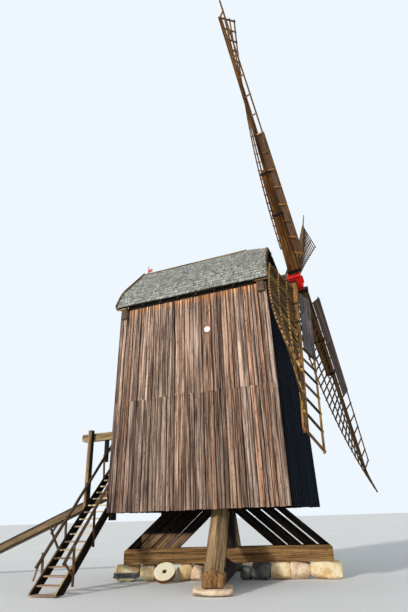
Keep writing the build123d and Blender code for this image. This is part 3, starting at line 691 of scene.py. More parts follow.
def wall_board(pile, wall, s0, s1, z0, z1, tint, lift, shades=True):
    count = max(2, round((z1 - z0) / 0.8) + 1)
    stations = [z0 + (z1 - z0) * step / (count - 1) for step in range(count)]
    if shades and z1 > WALL_TOP - 0.1:
        reach = rng.uniform(0.20, 0.34)
        stations[-1:] = [z1 - reach, z1 - 0.06, z1]
    span = (wall(s1, z0, 0) - wall(s0, z0, 0)).length
    metre = (s1 - s0) / max(span, 0.01)
    cup = rng.uniform(-0.003, 0.003)
    edge = min(0.016, span / 4) * metre
    rings = []
    for z in stations:
        shake = rng.uniform(-0.0025, 0.0025)
        left = s0 + (BOARD_GAP + shake) * metre
        right = s1 - (BOARD_GAP - shake) * metre
        out = BOARD + lift + rng.uniform(-0.002, 0.002)
        section = (
            (left, lift, GAP_SHADE), (left, out - BOARD_EDGE, GAP_SHADE), (left + BOARD_EDGE * metre, out, GAP_SHADE),
            (left + edge, out, PLAIN), ((left + right) / 2, out + cup, PLAIN), (right - edge, out, PLAIN),
            (right - BOARD_EDGE * metre, out, GAP_SHADE), (right, out - BOARD_EDGE, GAP_SHADE), (right, lift, GAP_SHADE),
        )
        tone = wall_shade(z) if shades else PLAIN
        rings.append([
            (wall(s, z, o), (s - s0) / (s1 - s0) * span, o, multiplied(shade, tone))
            for s, o, shade in section
        ])
    pile.loops(rings, [z - z0 for z in stations], tint, closed_back=False)


def board_tint():
    """A few boards are pale grey, reddish or dark, the others close to the wood's own colour."""
    kind = rng.random()
    for share, tone, levels in BOARD_KINDS:
        if kind < share:
            return multiplied(tone, (rng.uniform(*levels),) * 3)
    return random_tint(0.86, 1.14, 0.06)


def board_edges(count, vary):
    edges = [0.0]
    for _ in range(count):
        edges.append(edges[-1] + rng.uniform(1 - vary, 1 + vary))
    return [edge / edges[-1] for edge in edges]


def side_boards(name, wall):
    """Two tiers of boards; every second board stands on its neighbours."""
    pile = Timbers(name)
    edges = board_edges(SIDE_COUNT, 0.3)
    for place, (s0, s1) in enumerate(zip(edges, edges[1:])):
        tint = board_tint()
        seam = SIDE_SEAM + rng.uniform(-0.03, 0.03)
        if rng.random() < 0.15:
            seam += rng.uniform(-0.25, 0.25)
        lift = PROUD if place % 2 else FLUSH
        bottom = BODY_BOTTOM + rng.uniform(-0.016, 0.010)
        lower_tint = multiplied(tint, random_tint(0.76, 1.04, 0.03))
        wall_board(pile, wall, s0, s1, bottom, seam, lower_tint, lift)
        wall_board(pile, wall, s0, s1, seam + 0.004, WALL_TOP - 0.02, tint, lift + 0.001)
    pile.finish(wood_boards, "buck", "boards")


def gable_top(y, drop):
    """Underside of the roof over a point of the gable, steeper beyond the shoulder."""
    inner_ridge = RIDGE_Z - 0.16
    height = inner_ridge - ROOF_SLOPE * abs(y)
    if abs(y) > 1.45:
        height = min(height, EAVE_Z + (1.86 - abs(y)) * 2.35)
    return min(height, inner_ridge - drop)


def end_boards(name, wall, drop, holes, look):
    """Boards of a gable wall, cut around the holes (y0, y1, z0, z1)."""
    pile = Timbers(name)
    edges = board_edges(END_COUNT, 0.22)
    for place, (s0, s1) in enumerate(zip(edges, edges[1:])):
        y_high, y_low = (wall((s0 + s1) / 2, z, 0).y for z in (WALL_TOP, 4))
        spans = [(BODY_BOTTOM + rng.uniform(-0.016, 0.01), gable_top(y_high, drop) - 0.02)]
        for y0, y1, z0, z1 in holes:
            if y0 - 0.02 < (y_low if z0 < 6 else y_high) < y1 + 0.02:
                cut = [part for a, b in spans for part in ((a, z0), (z1, b))]
                spans = [(a, b) for a, b in cut if b - a > SHORTEST]
        for a, b in spans:
            for low, high in ((a, min(b, END_SEAM)), (max(a, END_SEAM), b)):
                if high - low > SHORTEST:
                    lift = PROUD_END if place % 2 else FLUSH
                    wall_board(pile, wall, s0, s1, low, high, board_tint(), lift, shades=False)
    pile.finish(look, "buck", "boards")


SHAFT_HOLE = (-0.33, 0.33, POLL.z - 0.42, POLL.z + 0.25)
DOORWAY = (*DOOR_Y, FLOOR_TOP, DOOR_TOP)
POLE_HOLE = (-0.13, 0.13, 2.95, 3.36)
BEAM_HOLE = (-0.13, 0.13, 4.66, 4.96)
side_boards("boards_near", near_point)
side_boards("boards_far", far_point)
end_boards("boards_breast", breast_point, NOSE_DROP, [SHAFT_HOLE], wood_breast_shade)
end_boards("boards_tail", tail_point, 0, [DOORWAY, POLE_HOLE, BEAM_HOLE], wood_boards)


# Roof surface: distance up the slope from the eave, and height off the surface
def roof_profile():
    eave, shoulder = Vector((EAVE_Y, EAVE_Z)), Vector(SHOULDER)
    chord = shoulder - eave
    middle = (eave + shoulder) / 2 + Vector((chord.y, -chord.x)).normalized() * EAVE_CURVE
    control = 2 * middle - (eave + shoulder) / 2
    points = []
    for step in range(9):
        t = step / 8
        points.append((1 - t) ** 2 * eave + 2 * t * (1 - t) * control + t * t * shoulder)
    return points + [Vector((0, RIDGE_Z))]


PROFILE = roof_profile()
LENGTHS = [0.0]
for before, after in zip(PROFILE, PROFILE[1:]):
    LENGTHS.append(LENGTHS[-1] + (after - before).length)
ROOF_LENGTH = LENGTHS[-1]
EXPOSURE, SHINGLE_GAP = 0.165, 0.005
SHINGLE_LENGTH = EXPOSURE * 1.75
HIP_ROWS, HIP_EXPOSURE, HIP_LENGTH = 6, 0.19, 0.3
RAFTER_PITCH = 0.72
SLOT_X, SLOT_HEIGHTS = 0.225, (6.80, 7.15, 7.50)


def roof_at(distance, lift):
    place = 0
    while place < len(PROFILE) - 2 and distance > LENGTHS[place + 1]:
        place += 1
    along = (PROFILE[place + 1] - PROFILE[place]).normalized()
    return PROFILE[place] + along * (distance - LENGTHS[place]) + Vector((along.y, -along.x)) * lift


def roof_point(side, x, distance, lift):
    at = roof_at(distance, lift)
    return Vector((x, side * at.x, at.y))


def nose_drop(x):
    return NOSE_DROP * (x - NOSE_START) / NOSE_LENGTH


def roof_limit(x):
    """How far up the slope the roof reaches at x."""
    if x < NOSE_START:
        return ROOF_LENGTH
    return ROOF_LENGTH - nose_drop(x) / math.sin(math.atan(ROOF_SLOPE))


def verge_x(z):
    return ROOF_FRONT - VERGE * (z - EAVE_Z)


def shingle(pile, butt, upper):
    """Each end is the four points (bottom left, top left, top right, bottom right)."""
    tint = random_tint(0.68, 1.34, 0.04)
    rings = []
    # Darker at the butt and paler up the shingle: partly weathering, partly painted shade that draws the
    # course lines.
    for points, level in ((butt, 0.66), (upper, 1.40)):
        spots = ((0, 0), (0, 0.01), (0.12, 0.01), (0.12, 0))
        rings.append([(point, across, out, (level,) * 3) for point, (across, out) in zip(points, spots)])
    pile.loops(rings, (0, 0.3), tint)


def slope_shingles(name, side):
    pile = Timbers(name)
    row = 0
    base = -0.02
    while base < ROOF_LENGTH:
        x = ROOF_BACK - rng.uniform(0, 0.08)
        while x < ROOF_FRONT:
            width = rng.uniform(0.08, 0.15)
            x0, x1 = max(x, ROOF_BACK), min(x + width - SHINGLE_GAP, ROOF_FRONT)
            x += width
            if x1 - x0 < 0.02:
                continue
            uneven = noise.noise(Vector((x * 1.5, row * 0.6, side)))
            wave = 0.014 * math.sin(x * 2.1 + row * 0.7) + 0.012 * uneven
            a = base + wave + rng.uniform(-0.010, 0.010)
            b = min(a + SHINGLE_LENGTH, roof_limit((x0 + x1) / 2))
            if b - a < 0.05:
                continue
            low_x1 = min(x1, verge_x(roof_at(max(a, 0), 0).y))
            high_x1 = min(x1, verge_x(roof_at(b, 0).y))
            if low_x1 - x0 < 0.02:
                continue
            high_x1 = max(high_x1, x0 + 0.005)
            top = 0.030 + rng.uniform(-0.003, 0.006)
            tilt = rng.uniform(-0.003, 0.003)
            quads = []
            for distance, end, under, left, right in (
                (a, low_x1, top - 0.016, top + tilt, top - tilt), (b, high_x1, 0.001, 0.010, 0.010),
            ):
                corners = ((x0, under), (x0, left), (end, right), (end, under))
                quads.append([roof_point(side, at, distance, lift) for at, lift in corners])
            shingle(pile, *quads)
        base += EXPOSURE
        row += 1
    pile.finish(shingles, "buck", "shingles")


def hip_shingles():
    """Rows across the half hip, each as wide as the hip is there."""
    pile = Timbers("shingles_nose")
    for row in range(HIP_ROWS):
        x_low = ROOF_FRONT - HIP_LENGTH - row * HIP_EXPOSURE
        x_high = max(x_low - HIP_LENGTH, NOSE_START + 0.01)
        half_low, half_high = nose_drop(x_low) / ROOF_SLOPE, nose_drop(x_high) / ROOF_SLOPE
        y = -half_low
        while y < half_low - 0.02:
            width = rng.uniform(0.10, 0.17)
            ends = (y, min(y + width - SHINGLE_GAP, half_low))
            y += width
            quads = []
            for x, half, bottom, top in ((x_low, half_low, 0.014, 0.034), (x_high, half_high, 0.002, 0.012)):
                y0, y1 = (max(-half, min(half, end)) for end in ends)
                z = RIDGE_Z - nose_drop(x)
                corners = ((y0, bottom), (y0, top), (y1, top), (y1, bottom))
                quads.append([Vector((x, side, z + out)) for side, out in corners])
            shingle(pile, *quads)
    pile.finish(shingles, "buck", "shingles")


slope_shingles("shingles_near", -1)
slope_shingles("shingles_far", 1)
hip_shingles()


def lengths(start, end, count, joint):
    """The ends of equal lengths between start and end, each shorter by a joint at both ends."""
    for part in range(count):
        low, high = (start + (end - start) * (part + side) / count for side in (0, 1))
        yield low + joint, high - joint


def roof_trim():
    """Boards along the ridge, and along the verges at both ends."""
    pile = Timbers("roof_trim")
    pitch = math.atan(ROOF_SLOPE)
    for side in (-1, 1):
        across = Vector((0, side * math.cos(pitch), -math.sin(pitch)))
        out = Vector((0, side * math.sin(pitch), math.cos(pitch)))
        shift = across * 0.045 + out * 0.040
        for ends in lengths(ROOF_BACK, NOSE_START, 4, 0.004):
            start, end = (Vector((x, 0, RIDGE_Z)) + shift for x in ends)
            tint = multiplied(random_tint(0.95, 1.1, 0.05), (1.25, 1.12, 0.95))
            pile.bar(start, end, across, 0.11, 0.018, tint)
        for low, high in zip(PROFILE, PROFILE[1:]):
            for at_tail in (True, False):
                a, b = Vector((0, side * low.x, low.y)), Vector((0, side * high.x, high.y))
                if at_tail:
                    a.x = b.x = ROOF_BACK + 0.016
                else:
                    if high is PROFILE[-1]:
                        top = RIDGE_Z - nose_drop(verge_x(RIDGE_Z - 0.35))
                        b = a.lerp(b, (top - 0.10 - low.y) / (high.y - low.y))
                    a.x, b.x = verge_x(a.z) - 0.016, verge_x(b.z) - 0.016
                lift = (b - a).cross(Vector(ALONG)).normalized() * side * 0.050
                pile.bar(a + lift, b + lift, ALONG, 0.026, 0.10, (1.20, 1.12, 0.92))
    pile.finish(wood_grey, "buck", "boards")


def eave_trim():
    """A board under each eave, and the rafter ends, both dark as painted shade under the eaves."""
    pile = Timbers("eave_trim")
    wall = HALF_WIDTH - LEAN_IN
    for side in (-1, 1):
        for ends in lengths(ROOF_BACK, ROOF_FRONT, 3, 0.003):
            start, end = ((x, side * (EAVE_Y - 0.012), EAVE_Z - 0.010) for x in ends)
            pile.bar(start, end, ACROSS, 0.03, 0.05, random_tint(0.5, 0.7, 0.03))
        x = ROOF_BACK + 0.45
        while x < ROOF_FRONT - 0.4:
            start, end = ((x, side * y, EAVE_Z - 0.05) for y in (wall + 0.002, EAVE_Y - 0.03))
            pile.bar(start, end, ALONG, 0.10, 0.09, random_tint(0.7, 1.3, 0.05))
            x += RAFTER_PITCH
    pile.finish(wood_dark, "buck", "dark_timber")


def eave_ends():
    """Short pale boards at the ends of the eaves."""
    pile = Timbers("eave_ends")
    for side in (-1, 1):
        for ends in ((ROOF_BACK + 0.01, ROOF_BACK + 0.55), (ROOF_FRONT - 0.56, ROOF_FRONT - 0.02)):
            start, end = ((x, side * (EAVE_Y - 0.045), EAVE_Z - 0.060) for x in ends)
            pile.bar(start, end, ACROSS, 0.026, 0.075, (1.35, 1.16, 0.84))
    pile.finish(wood_grey, "buck", "boards")


def near_slot():
    """The open joint below the disc, as a dark strip of painted shade over the boards."""
    pile = Timbers("near_slot")
    share = (SLOT_X - TAIL_X) / (BREAST_X - TAIL_X)
    section = ((-0.003, 0.0), (-0.003, 0.0425), (0.003, 0.0425), (0.003, 0.0))
    rings = [[(near_point(share + at, z, out), at, out) for at, out in section] for z in SLOT_HEIGHTS]
    pile.loops(rings, SLOT_HEIGHTS, (0.12, 0.11, 0.11))
    pile.finish(wood_dark, "buck", "dark_timber")


roof_trim()
eave_trim()
eave_ends()
near_slot()

# Ladder and door
STRING_X = (-4.145, -3.280)
LADDER_FRONT, LANDING_START = -4.149, -0.53
TREADS, TREAD_RUN = 17, 0.207
LADDER_SLOPE = (FLOOR_TOP - 0.054) / TREADS / TREAD_RUN
RAIL_SLOPE = LADDER_SLOPE + 0.33 / (LANDING_START - LADDER_FRONT)
STRING_FOOT, RAIL_FOOT = 0.094, 0.514  # heights at the ladder's front


def string_top(y):
    return STRING_FOOT + (y - LADDER_FRONT) * LADDER_SLOPE


def rail_middle(y):
    return RAIL_FOOT + (y - LADDER_FRONT) * RAIL_SLOPE


def handrails():
    """Rails of uneven round wood, with posts nailed beside the strings."""
    pile = Timbers("handrail_sticks")
    brown, pale = (0.55, 0.52, 0.50), (1.5, 1.42, 1.3)
    sticks = []  # x, start and end as (y, z), thickness, tone
    for x, foot, top in ((STRING_X[0], -4.00, -0.60), (STRING_X[1], -3.93, -0.56)):
        sticks.append((x, (foot, rail_middle(foot)), (top, rail_middle(top)), 0.084, brown))
    for y, x, low, tone in (
        (-3.70, -4.195, 0.10, pale), (-2.80, -4.195, 0.12, brown), (-1.88, -4.195, 0.12, brown),
        (-0.96, -4.195, 0.12, pale), (-3.55, -3.232, 0.50, pale), (-2.70, -3.232, 0.42, brown),
        (-1.86, -3.285, 0.0, brown), (-0.99, -3.285, 0.0, brown),
    ):
        foot = (y + 0.03, max(0.06, string_top(y) - low))
        sticks.append((x, foot, (y - 0.02, rail_middle(y) + 0.03), 0.066, tone))
    sticks += [
        (-4.195, (-4.02, 0.36), (-3.76, rail_middle(-3.76)), 0.05, pale),
        (-3.232, (-3.90, rail_middle(-3.90) - 0.02), (-3.52, 0.42), 0.05, brown),
        (-4.200, (-3.53, 1.71), (-3.09, 1.10), 0.06, brown),
        (-4.215, (-3.20, 1.72), (-3.44, 1.50), 0.05, brown),
    ]
    for x, start, end, size, tone in sticks:
        a, b = Vector((x, *start)), Vector((x, *end))
        rings = max(2, round((b - a).length / 0.35) + 1)
        pile.bar(a, b, ALONG, size, size * 1.15, tone, edge=size * 0.28, rings=rings, wobble=0.006)
    pile.finish(wood_rail, "buck", "dark_timber", ("handrails",))


def door_fittings():
    """Ledges, hinges and a latch on the outer face of the door."""
    ledges, hinges = Timbers("door_ledges"), Timbers("door_hinges")
    y0, y1 = DOOR_Y[0] + 0.05, DOOR_Y[1] - 0.05
    middle = (FLOOR_TOP + DOOR_TOP) / 2
    for z in (FLOOR_TOP + 0.25, middle, DOOR_TOP - 0.25):
        face = tail_at(z) + DOOR_INSET
        ledges.bar((face - 0.010, y0, z), (face - 0.010, y1, z), UP, 0.12, 0.022, (1.3, 1.2, 1.1))
        if z != middle:
            start, end = (face - 0.025, y0, z), (face - 0.025, y1 - 0.2, z)
            hinges.bar(start, end, UP, 0.045, 0.010, PLAIN, edge=0.002)
    z = FLOOR_TOP + 1.0
    x, y = tail_at(z) + DOOR_INSET - 0.03, y1 - 0.04
    hinges.bar((x, y, z - 0.09), (x, y, z + 0.09), ACROSS, 0.03, 0.03, PLAIN)
    ledges.finish(wood_dark, "buck", "dark_timber")
    hinges.finish(iron, "buck", "iron")


handrails()
door_fittings()


# Turned pieces: the profile is a closed outline of (radius, height)
def turned_piece(name, matrix, profile, look, rim, rim_places, body, replaced, count=48, shake=0.0):
    """A piece turned about Z. The profile's sides in rim_places get the look rim."""
    mesh = bpy.data.meshes.new(name)
    points, faces = [], []
    size = len(profile)
    for turn in range(count):
        angle = 2 * math.pi * turn / count
        low, high = turn * size, (turn + 1) % count * size
        for place, (radius, height) in enumerate(profile):
            way = Vector((math.cos(angle) * 2, math.sin(angle) * 2, height * 9))
            reach = radius * (1 + shake * noise.noise(way))
            points.append(matrix @ Vector((reach * math.cos(angle), reach * math.sin(angle), height)))
            beyond = (place + 1) % size
            faces.append((low + place, high + place, high + beyond, low + beyond))
    mesh.from_pydata([tuple(point) for point in points], [], faces)
    mesh.materials.append(look)
    mesh.materials.append(rim)
    for index, polygon in enumerate(mesh.polygons):
        if index % size in rim_places:
            polygon.material_index = 1
    fix_normals(mesh)
    place_piece(name, mesh, body, (replaced,))


DISC_AT = (0.423, 7.68)
DISC = (
    (0.0005, 0.0), (0.150, 0.0), (0.150, 0.046), (0.144, 0.052), (0.112, 0.052), (0.106, 0.046),
    (0.040, 0.046), (0.034, 0.051), (0.0005, 0.051),
)
DISC_RING = (0, 1, 2, 3, 4)


def round_disc():
    x, z = DISC_AT
    out = Vector((0, -1, LEAN)).normalized()
    across = Vector(ALONG)
    matrix = axes_at((x, -half_width_at(z), z), across, out.cross(across), out)
    turned_piece(
        "round_disc_plate", matrix, DISC, white_paint, disc_ring, DISC_RING, "buck",
        "round_disc",
    )


round_disc()


# Sails
def tapered(root, tip, share):
    return tuple(a + share * (b - a) for a, b in zip(root, tip))


def whip_rear(r, index):
    """The whip lies on its stock at the poll and comes forward towards the tip."""
    root = STOCK_ROOT[1] if index % 2 == 0 else 0.0
    tip = TIP_FORWARD - 0.055
    return root + (tip - root) * (r - POLL_FACE) / (SAIL_RADIUS - POLL_FACE)


def whip_size(r):
    return tapered(WHIP_ROOT, WHIP_TIP, (r - WHIP_START) / (SAIL_RADIUS - WHIP_START))


def whip_middle(r, index):
    return whip_rear(r, index) + whip_size(r)[1] / 2


def leading_twist(r):
    return math.radians(34 + (r - FIRST_BAR) / (LAST_BAR - FIRST_BAR) * (20 - 34))


def trailing_twist(r):
    share = max(0, (r - FIRST_BAR) / (LAST_BAR - FIRST_BAR))
    return math.radians(23 + share ** 2.2 * (-13 - 23))


def on_sail(index, r, across, forward, twist):
    angle = twist(r)
    return sail_matrix(index) @ Vector((
        across * math.cos(angle) + forward * math.sin(angle),
        r,
        -across * math.sin(angle) + forward * math.cos(angle) + whip_middle(r, index),
    ))


BARS = [FIRST_BAR + BAR_PITCH * place for place in range(BAYS + 1)]
LATH_END, LONG_LATH_END = 0.059, 0.302  # how far the laths pass the last bar
LATHS = (0.45, 0.90, 1.35)
SAIL_LOOKS = (wood_sail, wood_lichen, wood_sail, wood_sail)
# Each sail's tones, by index, carry painted light and shade: the lattice bars are darkened as painted shade,
# most on the third sail (index 2), and the second sail's laths and whip and the first sail's leading bars
# are brightened as painted sunlight.
BAR_TONES = ((0.85, 0.78, 0.70), (0.60, 0.53, 0.46), (0.46, 0.46, 0.48), (0.52, 0.50, 0.46))
LATH_TONES = ((1.05, 0.96, 0.84), (1.75, 1.55, 1.10), (0.70, 0.66, 0.60), (0.80, 0.74, 0.64))
LEADING_TONES = ((2.1, 2.0, 1.8), (0.50, 0.46, 0.36), (0.75, 0.72, 0.72), (0.8, 0.76, 0.68))
WHIP_TONES = ((0.76, 0.60, 0.50), (1.35, 1.22, 1.0), (0.62, 0.60, 0.60), (0.9, 0.84, 0.76))
BOARD_TONES = ((1.05, 0.72, 0.50), (0.80, 0.80, 0.86), (0.62, 0.52, 0.47), (0.80, 0.78, 0.80))


def sail_rung(pile, index, r, reach, twist, tone):
    """One bar through the whip, a little uneven."""
    start = on_sail(index, r, 0.0, rng.uniform(-0.003, 0.001), twist)
    end = on_sail(index, r + rng.uniform(-0.004, 0.002), reach, rng.uniform(-0.004, 0.0), twist)
    across = sail_matrix(index).to_3x3() @ Vector(ACROSS)
    pile.bar(start, end, across, 0.040, 0.050, multiplied(tone, random_tint(0.75, 1.25, 0.04)), edge=0.005)


def sail_lath(pile, index, stations, distance, twist, tone):
    """A lath that follows the ends of the bars, a little behind their middle."""
    tone = multiplied(tone, random_tint(0.85, 1.2, 0.04))
    rings = []
    for r in stations:
        place = distance + rng.uniform(-0.003, 0.003)
        section = chamfered(0.020, 0.0225, 0.005)
        rings.append([(on_sail(index, r, place + a, f - 0.005, twist), a, f) for a, f in section])
    pile.loops(rings, stations, tone)


def lattice(index):
    pile = Timbers(f"lattice_{index + 1}")
    for place in range(2 * BAYS + 1):
        r = FIRST_BAR + BAR_PITCH / 2 * place
        sail_rung(pile, index, r, 1.416, trailing_twist, BAR_TONES[index])
    inner = [FIRST_BAR - 0.066] + BARS[1:]
    for distance in LATHS:
        stations = inner + [LAST_BAR + LATH_END]
        sail_lath(pile, index, stations, distance, trailing_twist, LATH_TONES[index])
    for r in BARS:
        sail_rung(pile, index, r, -0.635, leading_twist, LEADING_TONES[index])
    stations = inner + [LAST_BAR + (LATH_END if index else LONG_LATH_END)]
    sail_lath(pile, index, stations, -LEADING_WIDTH, leading_twist, LATH_TONES[index])
    pile.finish(SAIL_LOOKS[index], "rotor", "sail_timber", (f"sail_lattice_{index + 1}",))


def whip(index):
    pile = Timbers(f"whip_{index + 1}")
    rings, starts = [], []
    for step in range(10):
        r = WHIP_START + (SAIL_RADIUS - WHIP_START) * step / 9
        width, depth = whip_size(r)
        middle = whip_middle(r, index)
        shake = rng.uniform(-0.004, 0.004)
        rings.append([
            (sail_matrix(index) @ Vector((a + shake, r, middle + f)), a, middle + f)
            for a, f in chamfered(width / 2, depth / 2, 0.014)
        ])
        starts.append(r)
    pile.loops(rings, starts, WHIP_TONES[index])
    pile.finish(wood_sail, "rotor", "sail_timber", () if index else ("whips",))


def leading_boards(index):
    """Three planks side by side on the leading bars, each in three lengths."""
    pile = Timbers(f"leading_boards_{index + 1}")
    inner, base, thick = 0.145, 0.0256, 0.022
    edges = [inner, inner + 0.16, inner + 0.33, LEADING_WIDTH + 0.02]
    for low, high in zip(edges, edges[1:]):
        a, b = -low - 0.003, -high + 0.003
        top = base + thick
        section = [(a, base), (a, top - 0.003), (a - 0.004, top)]
        section += [(b + 0.004, top), (b, top - 0.003), (b, base)]
        for start, stop in ((0, 3), (3, 5), (5, BOARD_BAYS)):
            stations = BARS[start:stop + 1]
            stations[0] += 0.003
            stations[-1] -= 0.003
            rings = [[(on_sail(index, r, w, f, leading_twist), -w, f) for w, f in section] for r in stations]
            pile.loops(rings, stations, multiplied(random_tint(0.8, 1.15, 0.03), BOARD_TONES[index]))
    pile.finish(sail_planks, "rotor", "sail_boards", () if index else ("leading_boards",))


for make in (lattice, whip, leading_boards):
    for index in range(4):
        make(index)

STRAPS = {0.43: 0.11, 2.65: 0.07, 4.15: 0.07}  # distance from the poll: width along the stock
STRAP_THICK = 0.014


def strap(pile, index, r, low, high, width, along):
    """Four flat bars around stock and whip."""
    matrix = sail_matrix(index)
    half = width / 2
    corners = ((-half, low), (half, low), (half, high), (-half, high))
    for (x0, z0), (x1, z1) in zip(corners, corners[1:] + corners[:1]):
        side = Vector((x1 - x0, 0, z1 - z0)).normalized()
        out = Vector((side.z, 0, -side.x))
        a = Vector((x0, r, z0)) - side * STRAP_THICK + out * STRAP_THICK / 2
        b = Vector((x1, r, z1)) + side * STRAP_THICK + out * STRAP_THICK / 2
        across = matrix.to_3x3() @ Vector(ACROSS)
        pile.bar(matrix @ a, matrix @ b, across, along, STRAP_THICK, PLAIN, edge=0.003)


def sail_straps():
    pile = Timbers("sail_straps")
    for index in range(4):
        for r, along in STRAPS.items():
            width, depth = tapered(STOCK_ROOT, STOCK_TIP, (r - POLL_FACE) / (STOCK_REACH - POLL_FACE))
            rear = whip_rear(r, index)
            strap(pile, index, r, rear - depth - 0.006, rear + whip_size(r)[1] + 0.006, width + 0.012, along)
    pile.finish(iron, "rotor", "iron")


sail_straps()


# Boulders, pad stones and the millstone
def boulder(name, middle, half, degrees, look, square, rough=0.07, replaces=(), cut_count=12):
    """A rounded block with the half extents in half; a larger square makes its corners squarer."""
    work = bmesh.new()
    bmesh.ops.create_cube(work, size=2)
    bmesh.ops.subdivide_edges(work, edges=work.edges[:], cuts=15, use_grid_fill=True)
    shift = Vector([rng.uniform(0, 50) for _ in range(3)])
    turn = Matrix.Rotation(math.radians(degrees), 3, "Z")
    cuts = []
    for _ in range(cut_count):
        way = Vector([rng.uniform(-1, 1) for _ in range(3)]).normalized()
        cuts.append((way, rng.uniform(0.82, 0.98) * sum(abs(part) ** 1.6 for part in way) ** 0.55))
    for point in work.verts:
        way = point.co.normalized()
        place = way * sum(abs(part) ** square for part in way) ** (-1 / square)
        for plane, distance in cuts:
            place -= plane * max(0.0, place.dot(plane) - distance) * 0.94
        swell = noise.fractal(way * 0.9 + shift, 1.0, 2.0, 3) * rough
        grit = noise.fractal(way * 6.0 + shift, 0.9, 2.1, 4) * 0.016
        place = place * (1 + swell + grit)
        place = turn @ Vector((place.x * half[0], place.y * half[1], place.z * half[2])) + Vector(middle)
        place.z = min(max(place.z, 0.0), middle[2] + half[2])
        point.co = place
    mesh = bpy.data.meshes.new(name)
    work.to_mesh(mesh)
    work.free()
    mesh.materials.append(look)
    mesh.shade_smooth()
    place_piece(name, mesh, "trestle", replaces)


def on_tree(along, beside, z):
    """Along the long tree from the post, and beside it towards the near side."""
    return arm_direction(LONG_ANGLE) * along + arm_direction(LONG_ANGLE - 90) * beside + Vector((0, 0, z))


# Place along the tree, half length, half width, turn in degrees, look, squareness
PIERS = (
    (-3.275, 0.425, 0.285, 2, stone_block, 8.0), (-2.475, 0.285, 0.27, -6, stone_cream, 5.0),
    (-1.350, 0.265, 0.29, 8, stone_cream, 4.5), (-0.925, 0.195, 0.26, -10, stone_pink, 4.0),
    (1.100, 0.310, 0.28, 6, stone_grey, 6.0), (1.690, 0.300, 0.285, -5, stone_cream, 7.0),
    (2.300, 0.310, 0.27, 4, stone_pink, 7.0), (3.085, 0.455, 0.28, -3, stone_cream, 7.0),
)


def pier_stones():
    for count, (along, half, deep, turn, look, square) in enumerate(PIERS):
        size = (half * 1.04, deep * 1.04, 0.245)
        middle, replaces = on_tree(along, 0, 0.235), () if count else ("pier_stones",)
        boulder(f"boulder_{count + 1}", middle, size, LONG_ANGLE + turn, look, square, replaces=replaces)
    boulder("boulder_9", on_tree(-1.93, -0.03, 0.20), (0.26, 0.23, 0.21), 30, stone_cream, 2.6)
    boulder("boulder_10", on_tree(0.62, -0.05, 0.17), (0.20, 0.22, 0.19), -20, stone_grey, 2.5)


def slab_stones():
    """Under each end of the lower tree a wide slab, and a grey one behind it."""
    for count, degrees in enumerate((CROSS_ANGLE + 180, CROSS_ANGLE)):
        way = arm_direction(degrees)
        side = Vector((-way.y, way.x, 0))
        base = way * 2.98
        wide = base - side * 0.07 + Vector((0, 0, 0.105))
        grey = base - way * 0.30 - side * 0.04 + Vector((0, 0, 0.09))
        replaces = () if count else ("slab_stones",)
        boulder(
            f"slab_{count + 1}", wide, (0.42, 0.55, 0.098), degrees + 4, stone_pink, 5.0, 0.07, replaces,
            cut_count=10,
        )
        boulder(
            f"slab_{count + 3}", grey, (0.30, 0.44, 0.095), degrees - 8, stone_grey, 4.0, 0.08, cut_count=10
        )


MILLSTONE = (
    (0.058, -0.062), (0.30, -0.065), (0.332, -0.060), (0.340, -0.045), (0.340, 0.045), (0.332, 0.060),
    (0.300, 0.064), (0.180, 0.059), (0.075, 0.055), (0.058, 0.045),
)
MILLSTONE_RIM = (3, 4, 8, 9)


def millstone():
    """It leans against the long tree, with its lowest point on the ground."""
    lean = math.radians(47)
    radius, half = 0.34, 0.065
    lift = radius * math.cos(lean) + half * math.sin(lean)
    reach = 0.235 + radius * math.sin(lean) + half * math.cos(lean)
    face = arm_direction(LONG_ANGLE - 90) * math.cos(lean) + Vector((0, 0, math.sin(lean)))
    across = arm_direction(LONG_ANGLE)
    matrix = axes_at(on_tree(-1.89, reach, lift), across, face.cross(across), face)
    turned_piece(
        "millstone_worn", matrix, MILLSTONE, stone_mill, stone_rust, MILLSTONE_RIM, "trestle",
        "millstone", count=64, shake=0.015,
    )


pier_stones()
slab_stones()
millstone()


# Floor, light and camera
def make_floor():
    mesh = bpy.data.meshes.new("studio_floor")
    size = 400
    corners = [(-size, -size, 0), (size, -size, 0), (size, size, 0), (-size, size, 0)]
    mesh.from_pydata(corners, [], [(0, 1, 2, 3)])
    mesh.materials.append(floor_material())
    made = add_object("studio_floor", mesh)


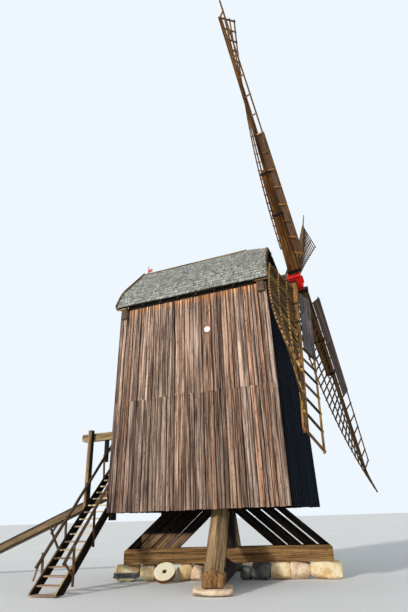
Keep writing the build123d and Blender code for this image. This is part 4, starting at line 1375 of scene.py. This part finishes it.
def make_sun(name, strength, angle, direction, colour):
    light = bpy.data.lights.new(name, "SUN")
    light.energy = strength
    light.angle = math.radians(angle)
    light.color = colour
    made = add_object(name, light)
    made.rotation_euler = Vector(direction).to_track_quat("-Z", "Y").to_euler()


def make_world():
    """A soft sky light, and a pale background that only the camera and reflections see."""
    world = bpy.data.worlds.new("studio")
    bpy.context.scene.world = world
    world.use_nodes = True
    tree = world.node_tree
    light = tree.nodes["Background"]
    light.inputs["Color"].default_value = (0.86, 0.93, 1.0, 1)
    light.inputs["Strength"].default_value = 0.55
    seen = add_node(tree, "ShaderNodeBackground", Color=(0.86, 0.93, 0.99, 1), Strength=1.0)
    path = add_node(tree, "ShaderNodeLightPath").outputs
    shown = path["Is Camera Ray"]
    for kind in ("Is Glossy Ray", "Is Transmission Ray"):
        shown = add_node(tree, "ShaderNodeMath", operation="MAXIMUM", i0=shown, i1=path[kind]).outputs[0]
    chosen = add_node(tree, "ShaderNodeMixShader", i0=shown, i1=light.outputs[0], i2=seen.outputs[0])
    tree.links.new(chosen.outputs[0], tree.nodes["World Output"].inputs["Surface"])


def make_camera():
    """The camera as fitted to the photograph, with its focal length in pixels of 612."""
    yaw, pitch, roll = -0.3873, 0.4347, -0.0332
    focal, height = 453.83, 612
    forward = Vector((math.sin(yaw) * math.cos(pitch), math.cos(yaw) * math.cos(pitch), math.sin(pitch)))
    flat_right = Vector((math.cos(yaw), -math.sin(yaw), 0))
    flat_up = flat_right.cross(forward)
    right = flat_right * math.cos(roll) + flat_up * math.sin(roll)
    up = flat_up * math.cos(roll) - flat_right * math.sin(roll)
    lens = bpy.data.cameras.new("camera")
    lens.sensor_width = 36
    lens.sensor_fit = "AUTO"
    lens.lens = focal / height * lens.sensor_width
    lens.clip_end = 1000
    made = add_object("camera", lens)
    made.matrix_world = axes_at((5.834, -15.495, 1.820), right, up, -forward)
    bpy.context.scene.camera = made


make_floor()
make_sun("key", 2.3, 5, (0.42, 1.0, -0.45), (1.0, 0.965, 0.92))
make_sun("fill", 0.3, 60, (-0.8, 0.3, -0.5), (0.94, 0.97, 1.0))
make_world()
make_camera()
bpy.context.scene.view_settings.view_transform = "Standard"
